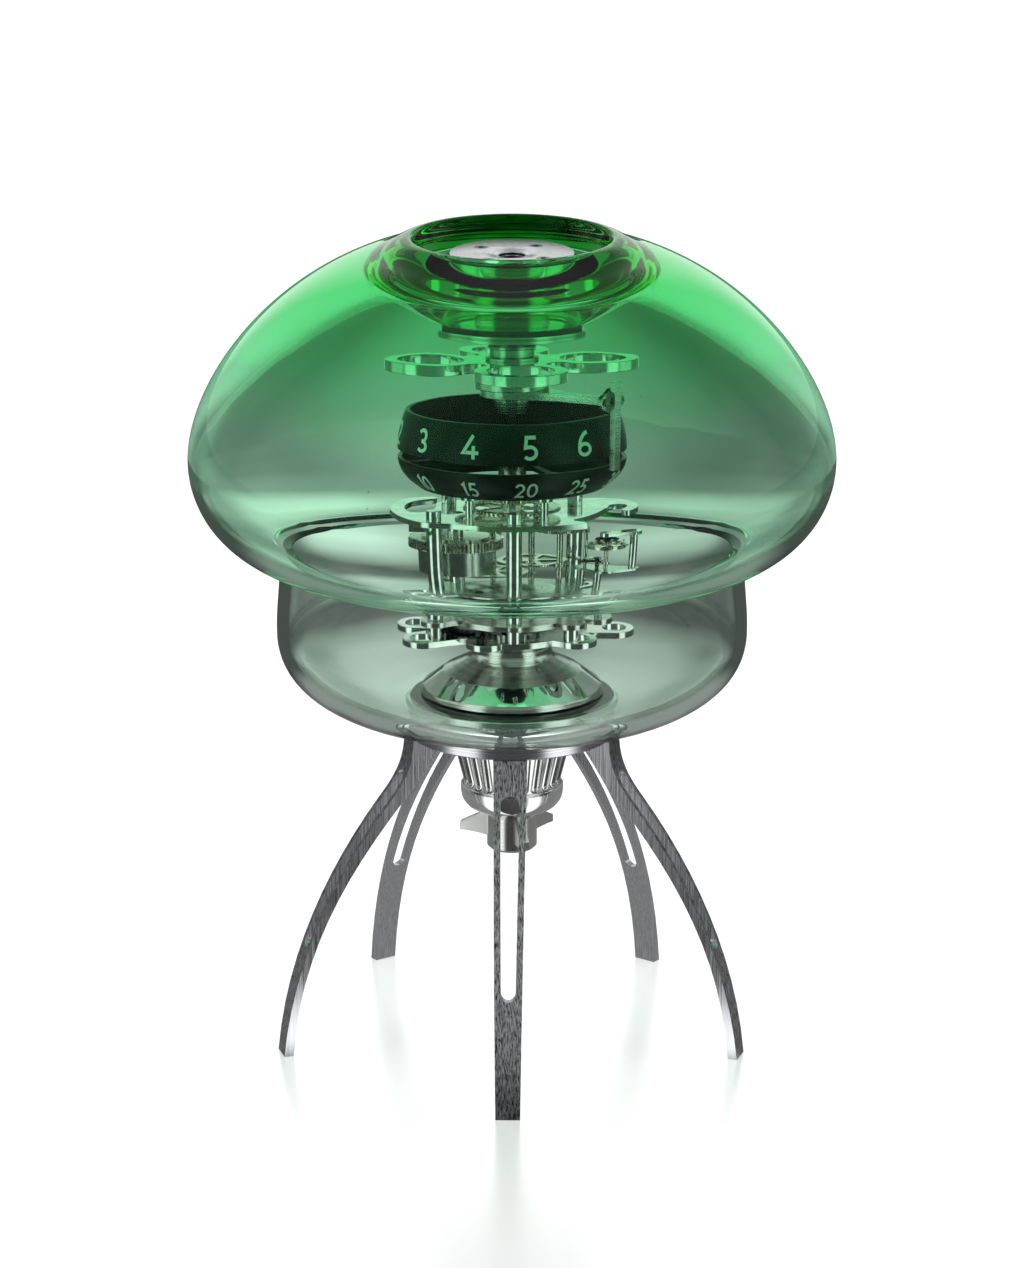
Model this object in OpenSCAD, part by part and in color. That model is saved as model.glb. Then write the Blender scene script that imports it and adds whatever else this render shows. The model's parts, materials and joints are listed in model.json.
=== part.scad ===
// Desk clock: two glass lobes on a five-legged steel stand, with a spring-driven
// movement open to view inside and the time read on two turning number rings.
// Millimetres, Z up. The origin is on the floor, on the clock's axis.
// The front of the clock faces -Y.

/* [Stand] */
// Height of the legs, floor to the underside of the base plate
leg_h = 126; // [110:1:145]
// Radius at which the outer edges of the feet stand
foot_r = 94.8; // [85:0.2:110]
// Outward thickness of a leg at its foot
foot_t = 3.8; // [3:0.1:6]
// Outward thickness of a leg at its root
root_t = 10; // [8:0.5:12]
// Width of a leg at its root
root_w = 13; // [12:0.2:15]
// Width of a leg at its foot
foot_w = 9.4; // [8:0.2:12]
// Height above the floor of the lower end of the slot in a leg
slot_low = 43.8; // [35:0.5:60]
// Distance from the root of a leg down to its slot
slot_drop = 13.3; // [11.5:0.5:20]
// Width of the slot at its upper end
slot_top_w = 7.4; // [5:0.1:8]
// Width of the slot at its lower end
slot_low_w = 5.7; // [4:0.1:6]
// Turn of the whole stand about the clock's axis, in degrees
stand_yaw = -1; // [-20:1:20]
// Radius of the base plate
plate_r = 42; // [40:0.5:48]
// Thickness of the base plate
plate_t = 8.3; // [7:0.1:12]
// Radius of the screws that hold the legs
leg_screw_r = 2; // [1.5:0.1:2.5]

/* [Cup and key] */
// Height of the fluted cup under the base plate
cup_h = 32; // [28:0.5:36]
// Radius of the cup against the base plate
cup_top_r = 24.4; // [22:0.2:26]
// Radius of the cup's rounded lower ring
cup_ring_r = 20.1; // [17:0.1:21.5]
// Height of the rounded lower ring
cup_ring_h = 9.5; // [7:0.5:12]
// Number of flutes round the cup
flutes = 26; // [16:1:28]
// Radius of one flute
flute_r = 2; // [1.4:0.1:2.1]
// Radius of the winding key's hub
key_r = 9.8; // [8:0.1:12]
// Height of the winding key's hub
key_h = 17; // [14:0.5:22]
// Reach of the key's wings from the axis
wing_reach = 21; // [17:0.5:26]
// Thickness of a wing
wing_t = 3.4; // [2:0.2:4]
// Number of wings
wings = 3; // [2:1:5]
// Radius of the winding arbor
wind_arbor_r = 4; // [3:0.1:5]

/* [Lower glass] */
// Largest radius of the lower glass
bell_r = 91.2; // [86:0.2:98]
// Height of the lower glass
bell_h = 64; // [56:0.5:72]
// Wall of the lower glass
bell_wall = 4.5; // [3.5:0.1:6]
// Radius of the hole in its floor
bell_hole_r = 12; // [11.5:0.1:15]

/* [Upper glass] */
// Largest radius of the dome
dome_r = 124.4; // [118:0.2:132]
// Wall of the dome at its lower edge
dome_low_wall = 4.6; // [4:0.1:7]
// Wall of the dome at its crest
dome_top_wall = 17; // [14:0.1:18.5]
// Thickness of the flat glass neck that carries the dome
neck_glass_t = 20; // [18:0.2:22]
// Radius of the underside of the glass neck
neck_glass_r = 26.5; // [25.5:0.1:30]
// Rise of the crest above the floor of the well round the cap
crest_rise = 10.5; // [6:0.5:14]

/* [Clamp under the movement] */
// Radius of the clamp ring on the floor of the lower glass
clamp_r = 35.5; // [32:0.5:40]
// Height of the clamp ring
clamp_h = 3.4; // [2.5:0.1:6]
// Height of the mirror cone
cone_h = 6.2; // [4:0.2:9]
// Upper radius of the mirror cone
cone_top_r = 26.7; // [24:0.1:30]
// Height of the waisted neck above the mirror cone
neck_h = 15.1; // [12:0.5:20]
// Waist radius of the neck
neck_waist_r = 15; // [12:0.5:16]
// Radius of the neck's flared top
neck_top_r = 17.7; // [16:0.1:20]

/* [Plates and pillars] */
// Thickness of the lower petal plate
low_petal_t = 2.5; // [2:0.1:4]
// Gap between the lower petal plate and the middle plate
low_gap = 5.5; // [4.1:0.1:8]
// Thickness of the middle plate
mid_t = 2; // [1.5:0.1:3]
// Distance between the middle and the upper plate
pillar_h = 43; // [38.5:0.1:46]
// Thickness of the upper plate
top_t = 2.6; // [2:0.1:4]
// Radius of a pillar
pillar_r = 3; // [2.2:0.1:3.4]
// Radius of the nuts on the pillars
nut_r = 2.9; // [2.2:0.1:3.4]
// Height of the nuts on the pillars
nut_h = 5; // [3:0.2:6]

/* [Number rings] */
// Height of the minute ring's lower edge above the upper plate
minute_lift = 13.1; // [12.4:0.1:18]
// Height of the minute ring
minute_ring_h = 11.7; // [10:0.1:14]
// Inward lean of the minute ring at its lower edge
minute_lean = 7.8; // [5:0.2:10]
// Gap between the two rings
ring_gap = 3.3; // [2.5:0.1:6]
// Height of the hour ring
hour_ring_h = 14.2; // [12:0.1:16]
// Radius of the two rings where they face each other
ring_r = 43; // [42:0.1:45]
// Inward lean of the hour ring at its upper edge
hour_lean = 3.3; // [1:0.1:5]
// Wall of the rings
ring_wall = 1.6; // [1.2:0.1:2.5]
// Number of spokes that carry each ring
ring_spokes = 4; // [3:1:6]

/* [Pointer and crown] */
// Radius of the fixed centre column
column_r = 2.9; // [2.4:0.1:3.2]
// Radius of the collar where the column meets the pointer arm
collar_r = 7.2; // [6:0.1:9]
// Height of that collar
collar_h = 5.4; // [3:0.2:7]
// Thickness of the pointer arm
arm_t = 2.6; // [2.2:0.1:4]
// Direction of the pointer, in degrees to the right of the front
pointer_angle = 54; // [40:1:75]
// Gap between the rings and the pointer that hangs outside them
pointer_gap = 2.8; // [2.4:0.1:6]
// Radius of the boss disc over the arm
boss_disc_r = 14; // [12:0.5:17]
// Thickness of the boss disc
boss_disc_t = 6.2; // [4.6:0.1:7]
// Thickness of the upper petal plate
petal_t = 3.3; // [2.5:0.1:5]
// Distance from the axis to the middle of a petal's ring
petal_centre = 30.4; // [28:0.2:34]
// Outer radius of a petal's ring
petal_ring_r = 17.2; // [15:0.1:18.5]
// Width of the band that makes a petal's ring
petal_band = 4.8; // [3:0.1:6]
// Turn of the upper petal plate, in degrees
petal_yaw = 6; // [0:1:45]
// Height of the spool between the petals and the clamp disc
spool_h = 7.5; // [6:0.1:12]
// Waist radius of the spool
spool_r = 8.4; // [7:0.1:10]
// Radius of the clamp disc under the glass neck
disc_r = 27.8; // [27:0.1:31]
// Thickness of the clamp disc
disc_t = 2.2; // [1.8:0.1:4]
// Radius of the top cap
cap_r = 24.2; // [22:0.2:26]
// Thickness of the top cap
cap_t = 2.2; // [1.8:0.1:4]
// Radius of the threaded hanging hole through the cap
hang_r = 5.1; // [4:0.1:6]
// Radius of the circle of cap screws
cap_screw_circle = 15; // [13:0.5:17]

/* [Movement] */
// Distance of the barrel from the clock's axis
barrel_dist = 21.9; // [21:0.1:24]
// Radius of the barrel's drum
drum_r = 14.6; // [12:0.1:15]
// Height of the barrel's drum
drum_h = 16; // [12:0.5:17]
// Height of the great wheel's toothed band
great_h = 5; // [3:0.2:5.6]
// Distance of the centre arbor from the clock's axis
centre_dist = 21; // [20:0.1:22]
// Distance of the third arbor from the clock's axis
third_dist = 15.5; // [15:0.1:16.5]
// Distance of the fourth arbor from the clock's axis
fourth_dist = 18.5; // [18:0.1:19.5]
// Distance of the escape arbor from the clock's axis
escape_dist = 28.2; // [27.6:0.1:29]
// Thickness of the thin train wheels
wheel_t = 1.4; // [1:0.1:2]
// Radius of the train's arbors
arbor_r = 1.2; // [0.8:0.1:1.4]
// Radius of the balance wheel
balance_r = 7.5; // [6:0.1:8]

/* [Hidden] */
$fn = 72;
over = 1;
run = 0.05;
air = 0.5;

// Rubber parts
seat_t = 1.2;
gasket_t = 0.8;
neck_gasket_t = 1.6;
cap_gasket_t = 2;
seat_r = 40;
neck_gasket_r = 26;
cap_gasket_r = 25.6;

// Heights, each worked out from the piece below
plate_top = leg_h + plate_t;
glass_z = plate_top + seat_t;
floor_top = glass_z + bell_wall;
clamp_z = floor_top + gasket_t;
cone_z = clamp_z + clamp_h;
neck_z = cone_z + cone_h;
low_petal_z = neck_z + neck_h;
low_petal_top = low_petal_z + low_petal_t;
mid_z = low_petal_top + low_gap;
mid_top = mid_z + mid_t;
top_z = mid_top + pillar_h;
top_top = top_z + top_t;
minute_z = top_top + minute_lift;
minute_top = minute_z + minute_ring_h;
hour_z = minute_top + ring_gap;
hour_top = hour_z + hour_ring_h;
collar_drop = 0.9;
collar_z = hour_top - collar_drop;
arm_z = collar_z + collar_h;
boss_z = arm_z + arm_t;
petal_z = boss_z + boss_disc_t;
petal_top = petal_z + petal_t;
disc_z = petal_top + spool_h;
disc_top = disc_z + disc_t;
neck_glass_z = disc_top + neck_gasket_t;
well_z = neck_glass_z + neck_glass_t;
cap_z = well_z + cap_gasket_t;
cap_top = cap_z + cap_t;
crest_z = well_z + crest_rise;
bell_top = glass_z + bell_h;
dome_h = crest_z - bell_top;

// Points along curves
curve_steps = 12;
function bez(a, b, c, d, t) =
  pow(1 - t, 3) * a + 3 * t * pow(1 - t, 2) * b + 3 * t * t * (1 - t) * c + pow(t, 3) * d;
function curve(p, n = curve_steps) = [for (i = [0:n]) bez(p[0], p[1], p[2], p[3], i / n)];
function spline(p, n = curve_steps) =
  concat([p[0]], [for (k = [0:3:len(p) - 4]) each tail(curve([p[k], p[k + 1], p[k + 2], p[k + 3]], n))]);
function tail(p) = [for (i = [1:len(p) - 1]) p[i]];
function back(p) = [for (i = [len(p) - 1:-1:0]) p[i]];
function unit(v) = v / norm(v);
function polar(r, a) = [r * cos(a), r * sin(a)];
function bearing(p, q) = atan2(q[1] - p[1], q[0] - p[0]);
function clamp01(i, n) = max(0, min(n, i));
// Direction of a polyline at each point, turned to face its left
function left_of(p, i) =
  let (d = unit(p[clamp01(i + 1, len(p) - 1)] - p[clamp01(i - 1, len(p) - 1)])) [-d[1], d[0]];
function offset_path(p, t) = [for (i = [0:len(p) - 1]) p[i] + t[i] * left_of(p, i)];

// A plate outline made of discs joined by straight bands that are a little narrower than the discs
band_share = 0.96;
module ribbon(p) {
  for (q = p) translate([q[0], q[1]]) circle(r = q[2]);
  for (i = [0:len(p) - 2]) link(p[i], p[i + 1]);
}
module link(a, b) {
  d = norm([b[0] - a[0], b[1] - a[1]]);
  turn = bearing(a, b);
  lean = acos((a[2] - b[2]) / d);
  pa = [a[0], a[1]];
  pb = [b[0], b[1]];
  polygon([
    pa + polar(a[2] * band_share, turn + lean), pa + polar(a[2] * band_share, turn - lean),
    pb + polar(b[2] * band_share, turn - lean), pb + polar(b[2] * band_share, turn + lean)
  ]);
}
module plate(z, t) translate([0, 0, z]) linear_extrude(t) children();
module rod(p, z, r, h) translate([p[0], p[1], z]) cylinder(r = r, h = h);
module rod_cut(p, z, r, h) rod(p, z - over, r, h + 2 * over);
module tube(z, r, bore, h) translate([0, 0, z]) difference() {
  cylinder(r = r, h = h);
  translate([0, 0, -over]) cylinder(r = bore, h = h + 2 * over);
}

// Gear teeth: heights in modules, widths as shares of the tooth pitch
tip_share = 0.85;
root_share = 1.2;
tooth_root_share = 0.60;
tooth_mid_share = 0.38;
tooth_tip_share = 0.16;
function module_of(dist, a, b) = 2 * dist / (a + b);
function tip_of(m, teeth) = m * (teeth / 2 + tip_share);
function root_of(m, teeth) = m * (teeth / 2 - root_share);
// Phase of a gear that has a gap where its neighbour has a tooth
function mate(p, q, phase, teeth_p, teeth_q) =
  let (a = bearing(p, q)) a + 180 - 180 / teeth_q + (a - phase) * teeth_p / teeth_q;
module toothed(m, teeth, phase) {
  pitch = 360 / teeth;
  polygon([for (i = [0:teeth - 1]) each [
    polar(root_of(m, teeth), phase + pitch * (i - tooth_root_share / 2)),
    polar(m * teeth / 2, phase + pitch * (i - tooth_mid_share / 2)),
    polar(tip_of(m, teeth), phase + pitch * (i - tooth_tip_share / 2)),
    polar(tip_of(m, teeth), phase + pitch * (i + tooth_tip_share / 2)),
    polar(m * teeth / 2, phase + pitch * (i + tooth_mid_share / 2)),
    polar(root_of(m, teeth), phase + pitch * (i + tooth_root_share / 2))
  ]]);
}
// A crossed-out wheel: rim, spokes and hub, cut from one sheet
rim_share = 0.83;
hub_share = 0.26;
spoke_share = 0.16;
module crossed_wheel(m, teeth, phase, spokes) {
  r = root_of(m, teeth);
  difference() {
    toothed(m, teeth, phase);
    circle(r = r * rim_share);
  }
  intersection() {
    circle(r = r * (1 + rim_share) / 2);
    for (i = [0:spokes - 1]) rotate(i * 360 / spokes) translate([0, -r * spoke_share / 2])
      square([r, r * spoke_share]);
  }
  circle(r = r * hub_share);
}

// Places of the arbors, seen from above
barrel_angle = 169.5;
centre_angle = 111;
third_angle = 61;
fourth_angle = 7;
escape_angle = -1;
axis_at = [0, 0];
barrel_at = polar(barrel_dist, barrel_angle);
centre_at = polar(centre_dist, centre_angle);
third_at = polar(third_dist, third_angle);
fourth_at = polar(fourth_dist, fourth_angle);
escape_at = polar(escape_dist, escape_angle);

// Tooth counts
wind_teeth = 28;
ratchet_teeth = 30;
great_teeth = 72;
centre_pinion = 12;
minute_teeth = 28;
motion_teeth = 56;
motion_pinion = 10;
hour_teeth = 60;
centre_teeth = 80;
third_pinion = 10;
third_teeth = 75;
fourth_pinion = 10;
fourth_teeth = 64;
escape_pinion = 8;
escape_teeth = 15;
wind_m = module_of(barrel_dist, wind_teeth, ratchet_teeth);
great_m = module_of(norm(barrel_at - centre_at), great_teeth, centre_pinion);
minute_m = module_of(centre_dist, minute_teeth, motion_teeth);
hour_m = module_of(centre_dist, motion_pinion, hour_teeth);
centre_m = module_of(norm(third_at - centre_at), centre_teeth, third_pinion);
third_m = module_of(norm(fourth_at - third_at), third_teeth, fourth_pinion);
fourth_m = module_of(norm(escape_at - fourth_at), fourth_teeth, escape_pinion);

// Levels of the movement
wind_t = 3;
wind_z = low_petal_top + (low_gap - wind_t) / 2;
drum_lift_share = 0.285;
drum_z = mid_top + pillar_h * drum_lift_share;
great_z = drum_z + drum_h;
cover_t = 1.2;
centre_lift_share = 0.155;
centre_wheel_z = mid_top + pillar_h * centre_lift_share;
third_lift_share = 0.38;
third_wheel_z = mid_top + pillar_h * third_lift_share;
fourth_drop = 4.4;
fourth_wheel_z = top_z - wheel_t - fourth_drop;
escape_lift_share = 0.49;
escape_wheel_z = mid_top + pillar_h * escape_lift_share;
pinion_over = 0.7;
pivot_r = 0.6;
hole_r = pivot_r + run;
hour_wheel_z = top_top + 1.6 * wheel_t;
minute_wheel_z = hour_wheel_z + 2.7 * wheel_t;
bridge_z = minute_wheel_z + 2.5 * wheel_t;
bridge_t = 1.8;

// Pillar and post places, as shares of the radius that the ring carriers reach
front_post_share = [0.018, -0.512];
left_post_share = [-0.684, -0.381];
right_post_share = [0.527, -0.446];
rear_right_post_share = [0.56, 0.46];
rear_left_post_share = [-0.563, 0.605];
pillar_at = ring_r * [front_post_share, left_post_share, rear_right_post_share, rear_left_post_share];
low_post_at = concat(pillar_at, [ring_r * right_post_share]);

steel = [0.72, 0.73, 0.72];
satin = [0.62, 0.62, 0.61];
bright = [0.86, 0.87, 0.86];
rubber = [0.05, 0.05, 0.05];
green = [0.05, 0.5, 0.28, 0.35];
pale_green = [0.6, 0.75, 0.66, 0.3];
dark_green = [0.03, 0.17, 0.12];

// Legs
leg_count = 5;
leg_outer_a_share = [[0, 1], [0, 0.905], [0.09, 0.855], [0.208, 0.792]];
leg_outer_b_share = [[0.208, 0.792], [0.587, 0.587], [0.924, 0.317], [1, 0]];
leg_inner_a_share = [[0, 1], [0.034, 0.929], [0.125, 0.870], [0.237, 0.807]];
leg_inner_b_share = [[0.237, 0.807], [0.644, 0.571], [0.949, 0.333], [1, 0]];
function leg_points(s, r0, r1) = [for (q = s) [r0 + q[0] * (r1 - r0), q[1] * leg_h]];
function leg_side(a, b, r0, r1) =
  concat(curve(leg_points(a, r0, r1)), tail(curve(leg_points(b, r0, r1))));
leg_screw_r_at = plate_r - root_t / 2;
leg_screw_depth = 8;
module leg_front_face(top_w, low_w, z0, z1) rotate([90, 0, 90]) linear_extrude(2 * foot_r)
  polygon([[-low_w / 2, z0], [low_w / 2, z0], [top_w / 2, z1], [-top_w / 2, z1]]);
module leg_slot() {
  top = leg_h - slot_drop - slot_top_w / 2;
  low = slot_low + slot_low_w / 2;
  leg_front_face(slot_top_w, slot_low_w, low, top);
  for (e = [[top, slot_top_w], [low, slot_low_w]])
    translate([0, 0, e[0]]) rotate([0, 90, 0]) cylinder(r = e[1] / 2, h = 2 * foot_r);
}
module leg(i) color(satin) rotate([0, 0, stand_yaw - 90 + i * 360 / leg_count]) difference() {
  intersection() {
    rotate([90, 0, 0]) linear_extrude(root_w, center = true) polygon(concat(
      leg_side(leg_outer_a_share, leg_outer_b_share, plate_r, foot_r),
      back(leg_side(leg_inner_a_share, leg_inner_b_share, plate_r - root_t, foot_r - foot_t))
    ));
    leg_front_face(root_w, foot_w, 0, leg_h);
  }
  leg_slot();
  rod([leg_screw_r_at, 0], leg_h - leg_screw_depth, leg_screw_r, leg_screw_depth + over);
}
module front_leg() leg(0);
module right_leg() leg(1);
module rear_right_leg() leg(2);
module rear_left_leg() leg(3);
module left_leg() leg(4);
leg_head_r_share = 1.7;
leg_head_t = 2.2;
module at_legs() for (i = [0:leg_count - 1])
  rotate([0, 0, stand_yaw - 90 + i * 360 / leg_count]) translate([leg_screw_r_at, 0, 0]) children();
module leg_screws() color(steel) at_legs() {
  translate([0, 0, leg_h - leg_screw_depth])
    cylinder(r = leg_screw_r, h = plate_t + leg_screw_depth - leg_head_t);
  translate([0, 0, plate_top - leg_head_t]) cylinder(r = leg_screw_r * leg_head_r_share, h = leg_head_t);
}

// Stand
stem_r = 11;
plate_edge = 0.6;
module base_plate() color(bright) difference() {
  rotate_extrude() polygon([
    [stem_r, leg_h], [plate_r - plate_edge, leg_h], [plate_r, leg_h + plate_edge],
    [plate_r, plate_top - plate_edge], [plate_r - plate_edge, plate_top], [stem_r, plate_top]
  ]);
  at_legs() {
    translate([0, 0, leg_h - over]) cylinder(r = leg_screw_r, h = plate_t + 2 * over);
    translate([0, 0, plate_top - leg_head_t])
      cylinder(r = leg_screw_r * leg_head_r_share, h = leg_head_t + over);
  }
}
cup_z = leg_h - cup_h;
cup_foot_share = 0.8;
cup_wall_low_share = 0.93;
stem_share = 0.6;
module fluted_cup() color(bright) {
  ring_top = cup_z + cup_ring_h;
  wall_low_r = cup_ring_r * cup_wall_low_share;
  lean = atan2(cup_top_r - wall_low_r, leg_h - ring_top);
  difference() {
    rotate_extrude() polygon(concat(
      [[wind_arbor_r + run, cup_z]],
      curve([
        [cup_ring_r * cup_foot_share, cup_z], [cup_ring_r, cup_z + cup_ring_h * 0.25],
        [cup_ring_r, cup_z + cup_ring_h * 0.6], [cup_ring_r, ring_top - plate_edge]
      ]),
      [
        [cup_ring_r - plate_edge, ring_top], [wall_low_r, ring_top], [cup_top_r, leg_h],
        [stem_r, leg_h], [stem_r, leg_h - cup_h * stem_share],
        [wind_arbor_r + run, leg_h - cup_h * stem_share]
      ]
    ));
    for (i = [0:flutes - 1]) rotate([0, 0, (i + 0.5) * 360 / flutes])
      translate([wall_low_r + flute_r * 0.35, 0, ring_top + flute_r * 1.2]) rotate([0, lean, 0]) {
        cylinder(r = flute_r, h = cup_h, $fn = 24);
        sphere(r = flute_r, $fn = 24);
      }
  }
}
module glass_seat() color(rubber) tube(plate_top, seat_r, stem_r, seat_t);

// Lower glass
bell_edge_share = 0.984;
bell_low_share = [[0.49, 0], [0.68, 0.003], [1.009, 0.11], [1, 0.5]];
bell_up_share = [[1, 0.5], [1.002, 0.64], [0.984, 0.74], [0.984, 1]];
function bell_points(s) = [for (q = s) [q[0] * bell_r, glass_z + q[1] * bell_h]];
module bell_glass() color(pale_green) {
  outer = concat(curve(bell_points(bell_low_share)), tail(curve(bell_points(bell_up_share))));
  inner = offset_path(outer, [for (q = outer) bell_wall]);
  top = len(inner) - 1;
  kept = [for (i = [1:top - 1]) inner[i]];
  rotate_extrude($fn = 144) polygon(concat(
    [[bell_hole_r, glass_z]], outer, [[outer[top][0] - bell_wall, bell_top]], back(kept),
    [[inner[0][0], floor_top], [bell_hole_r, floor_top]]
  ));
}
module bell_gasket() color(rubber) tube(floor_top, clamp_r, stem_r, gasket_t);

// Upper glass
belly_share = 0.296;
dome_up_share = [[1, 0.296], [1, 0.505], [0.780, 0.838], [0.418, 0.955]];
dome_crest_share = [[0.418, 0.955], [0.372, 0.973], [0.338, 1], [0.318, 1]];
dome_lip_share = [[0.318, 1], [0.303, 1], [0.300, 0.975], [0.288, 0.951]];
well_share = 1 - crest_rise / dome_h;
dome_well_share = [[0.288, 0.951], [0.268, 0.922], [0.262, well_share], [0.240, well_share]];
thin_to_share = 0.15;
thick_from_share = 1.05;
neck_hole_r = 20;
function dome_points(s) = [for (q = s) [q[0] * dome_r, bell_top + q[1] * dome_h]];
edge_out_r = bell_edge_share * bell_r;
edge_in_r = edge_out_r - bell_wall;
belly_z = bell_top + belly_share * dome_h;
belly_h = belly_z - bell_top;
// The wall is even in the lower part and thickens smoothly towards the neck
function ease(u) = u * u * (3 - 2 * u);
function dome_wall(z) =
  let (s = (z - bell_top) / dome_h)
  let (u = (s - thin_to_share) / (thick_from_share - thin_to_share))
  dome_low_wall + (dome_top_wall - dome_low_wall) * ease(max(0, min(1, u)));
dome_under = [for (i = [0:curve_steps]) let (a = -90 + i * 90 / curve_steps)
  [edge_out_r + (dome_r - edge_out_r) * cos(a), belly_z + belly_h * sin(a)]];
dome_over = curve(dome_points(dome_up_share));
dome_outer = concat(dome_under, tail(dome_over));
neck_round = 4;
module dome_glass() color(green) {
  inner_all = offset_path(dome_outer, [for (q = dome_outer) dome_wall(q[1])]);
  inner = [for (i = [1:len(inner_all) - 3]) inner_all[i]];
  last = inner[len(inner) - 1];
  under_neck = curve([
    last, [last[0] - neck_round * 2, last[1] + neck_round * 0.6],
    [neck_glass_r + neck_round * 2, neck_glass_z + neck_round * 0.6], [neck_glass_r, neck_glass_z]
  ]);
  rotate_extrude($fn = 144) polygon(concat(
    dome_outer, tail(curve(dome_points(dome_crest_share))), tail(curve(dome_points(dome_lip_share))),
    tail(curve(dome_points(dome_well_share))),
    [[neck_hole_r, well_z], [neck_hole_r, neck_glass_z]],
    back(under_neck), back([for (i = [0:len(inner) - 2]) inner[i]]),
    [[edge_in_r, bell_top]]
  ));
}

// Clamp and neck under the movement
clamp_bevel = 0.9;
module clamp_ring() color(satin) rotate_extrude() polygon([
  [stem_r, clamp_z], [clamp_r, clamp_z], [clamp_r, cone_z - clamp_bevel * 2],
  [clamp_r - clamp_bevel, cone_z], [stem_r, cone_z]
]);
module mirror_cone() color(green) rotate_extrude() polygon([
  [stem_r, cone_z], [clamp_r - clamp_bevel, cone_z], [cone_top_r, neck_z], [stem_r, neck_z]
]);
neck_cone_share = [0.637, 0.338];
neck_waist_share = 0.53;
module neck() color(satin) rotate_extrude() polygon(concat(
  [[wind_arbor_r + run, leg_h - cup_h * stem_share], [stem_r, leg_h - cup_h * stem_share],
   [stem_r, neck_z], [cone_top_r, neck_z]],
  [[cone_top_r * neck_cone_share[0], neck_z + neck_h * neck_cone_share[1]]],
  tail(curve([
    [cone_top_r * neck_cone_share[0], neck_z + neck_h * neck_cone_share[1]],
    [neck_waist_r * 0.99, neck_z + neck_h * neck_waist_share],
    [neck_waist_r * 0.95, neck_z + neck_h * 0.74], [neck_top_r, low_petal_z - plate_edge]
  ])),
  [[neck_top_r, low_petal_z], [wind_arbor_r + run, low_petal_z]]
));

// Plates
low_disc_r = 24.5;
low_loop_r = 7.6;
low_loop_hole = 4.6;
low_loop_share = [
  [-0.235, -0.46], [0.58, -0.38], [0.92, -0.05], [0.62, 0.62], [-0.30, 0.80], [-0.86, 0.10], [-0.80, -0.36]
];
low_root_r = 9;
low_root_share = 0.42;
low_loops = [for (q = low_loop_share) ring_r * q];
module lower_petal_plate() color(bright) difference() {
  plate(low_petal_z, low_petal_t) difference() {
    union() {
      circle(r = low_disc_r);
      for (q = low_loops) ribbon([concat(q * low_root_share, [low_root_r]), concat(q, [low_loop_r])]);
    }
    for (q = low_loops) if (norm(q) > low_disc_r) translate(q) circle(r = low_loop_hole);
  }
  rod_cut(axis_at, low_petal_z, wind_arbor_r + run, low_petal_t);
}
module lower_posts() color(bright) for (p = low_post_at) rod(p, low_petal_top, pillar_r, low_gap);
mid_r = 27;
mid_tab_r = 5.5;
module mid_plate() color(satin) difference() {
  plate(mid_z, mid_t) {
    circle(r = mid_r);
    for (p = concat(low_post_at, [platform_post_at[1]]))
      ribbon([concat(p / 2, [mid_tab_r]), concat(p, [mid_tab_r])]);
    ribbon([concat(barrel_at, [mid_tab_r * 2]), concat(axis_at, [mid_tab_r * 2])]);
  }
  rod_cut(axis_at, mid_z, pivot_r * 2 + run, mid_t);
  rod_cut(barrel_at, mid_z, barrel_arbor_r + run, mid_t);
  for (p = [centre_at, third_at, fourth_at]) rod_cut(p, mid_z, hole_r, mid_t);
  rod_cut(click_at, mid_z, click_pin_r, mid_t);
}
module pillars() color(bright) for (p = pillar_at) {
  rod(p, mid_top, pillar_r, pillar_h);
}
module pillar_nuts() color(bright) for (p = pillar_at) {
  rod(p, top_top, nut_r, nut_h);
}

// Upper plate: one outline that sweeps from the left end along the front, past the square end
// of the front arm, and round a hooked arm at either side
top_front_share = [
  [-0.85, -0.38], [-0.80, -0.45], [-0.72, -0.475], [-0.64, -0.475], [-0.46, -0.475], [-0.40, -0.59],
  [-0.22, -0.61], [-0.05, -0.63], [0.20, -0.65], [0.66, -0.49]
];
top_notch_share = [
  [0.64, -0.40], [0.60, -0.38], [0.54, -0.36], [0.54, -0.28], [0.60, -0.20], [0.74, -0.06], [0.82, 0.26],
  [0.87, 0.32], [0.84, 0.44], [0.90, 0.49], [0.95, 0.53], [1.02, 0.48], [1.02, 0.40],
  [1.02, 0.32], [0.98, 0.28], [0.97, 0.20], [0.97, 0.12], [1.05, 0.12], [1.07, 0.20]
];
top_back_share = [
  [1.07, 0.20], [1.16, 0.34], [1.13, 0.62], [0.98, 0.76], [0.88, 0.86], [0.74, 0.88], [0.62, 0.84],
  [0.40, 0.78], [0.20, 0.62], [0.00, 0.66], [-0.16, 0.68], [-0.30, 0.72], [-0.42, 0.76],
  [-0.58, 0.79], [-0.70, 0.68], [-0.68, 0.50], [-0.67, 0.36], [-0.69, 0.22], [-0.74, 0.14]
];
top_hook_share = [
  [-0.74, 0.14], [-0.80, 0.04], [-0.90, 0.04], [-0.93, 0.16], [-0.98, 0.34], [-0.96, 0.60], [-0.84, 0.74],
  [-0.78, 0.80], [-0.72, 0.82], [-0.68, 0.86], [-0.66, 0.92], [-0.70, 0.98], [-0.76, 0.95],
  [-0.98, 0.88], [-1.10, 0.60], [-1.08, 0.28], [-1.06, 0.00], [-0.98, -0.22], [-0.85, -0.38]
];
top_outline_share = concat(spline(top_front_share), spline(top_notch_share), tail(spline(top_back_share)),
  tail(spline(top_hook_share)));
function spread(s) = [for (q = s) ring_r * q];
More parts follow.
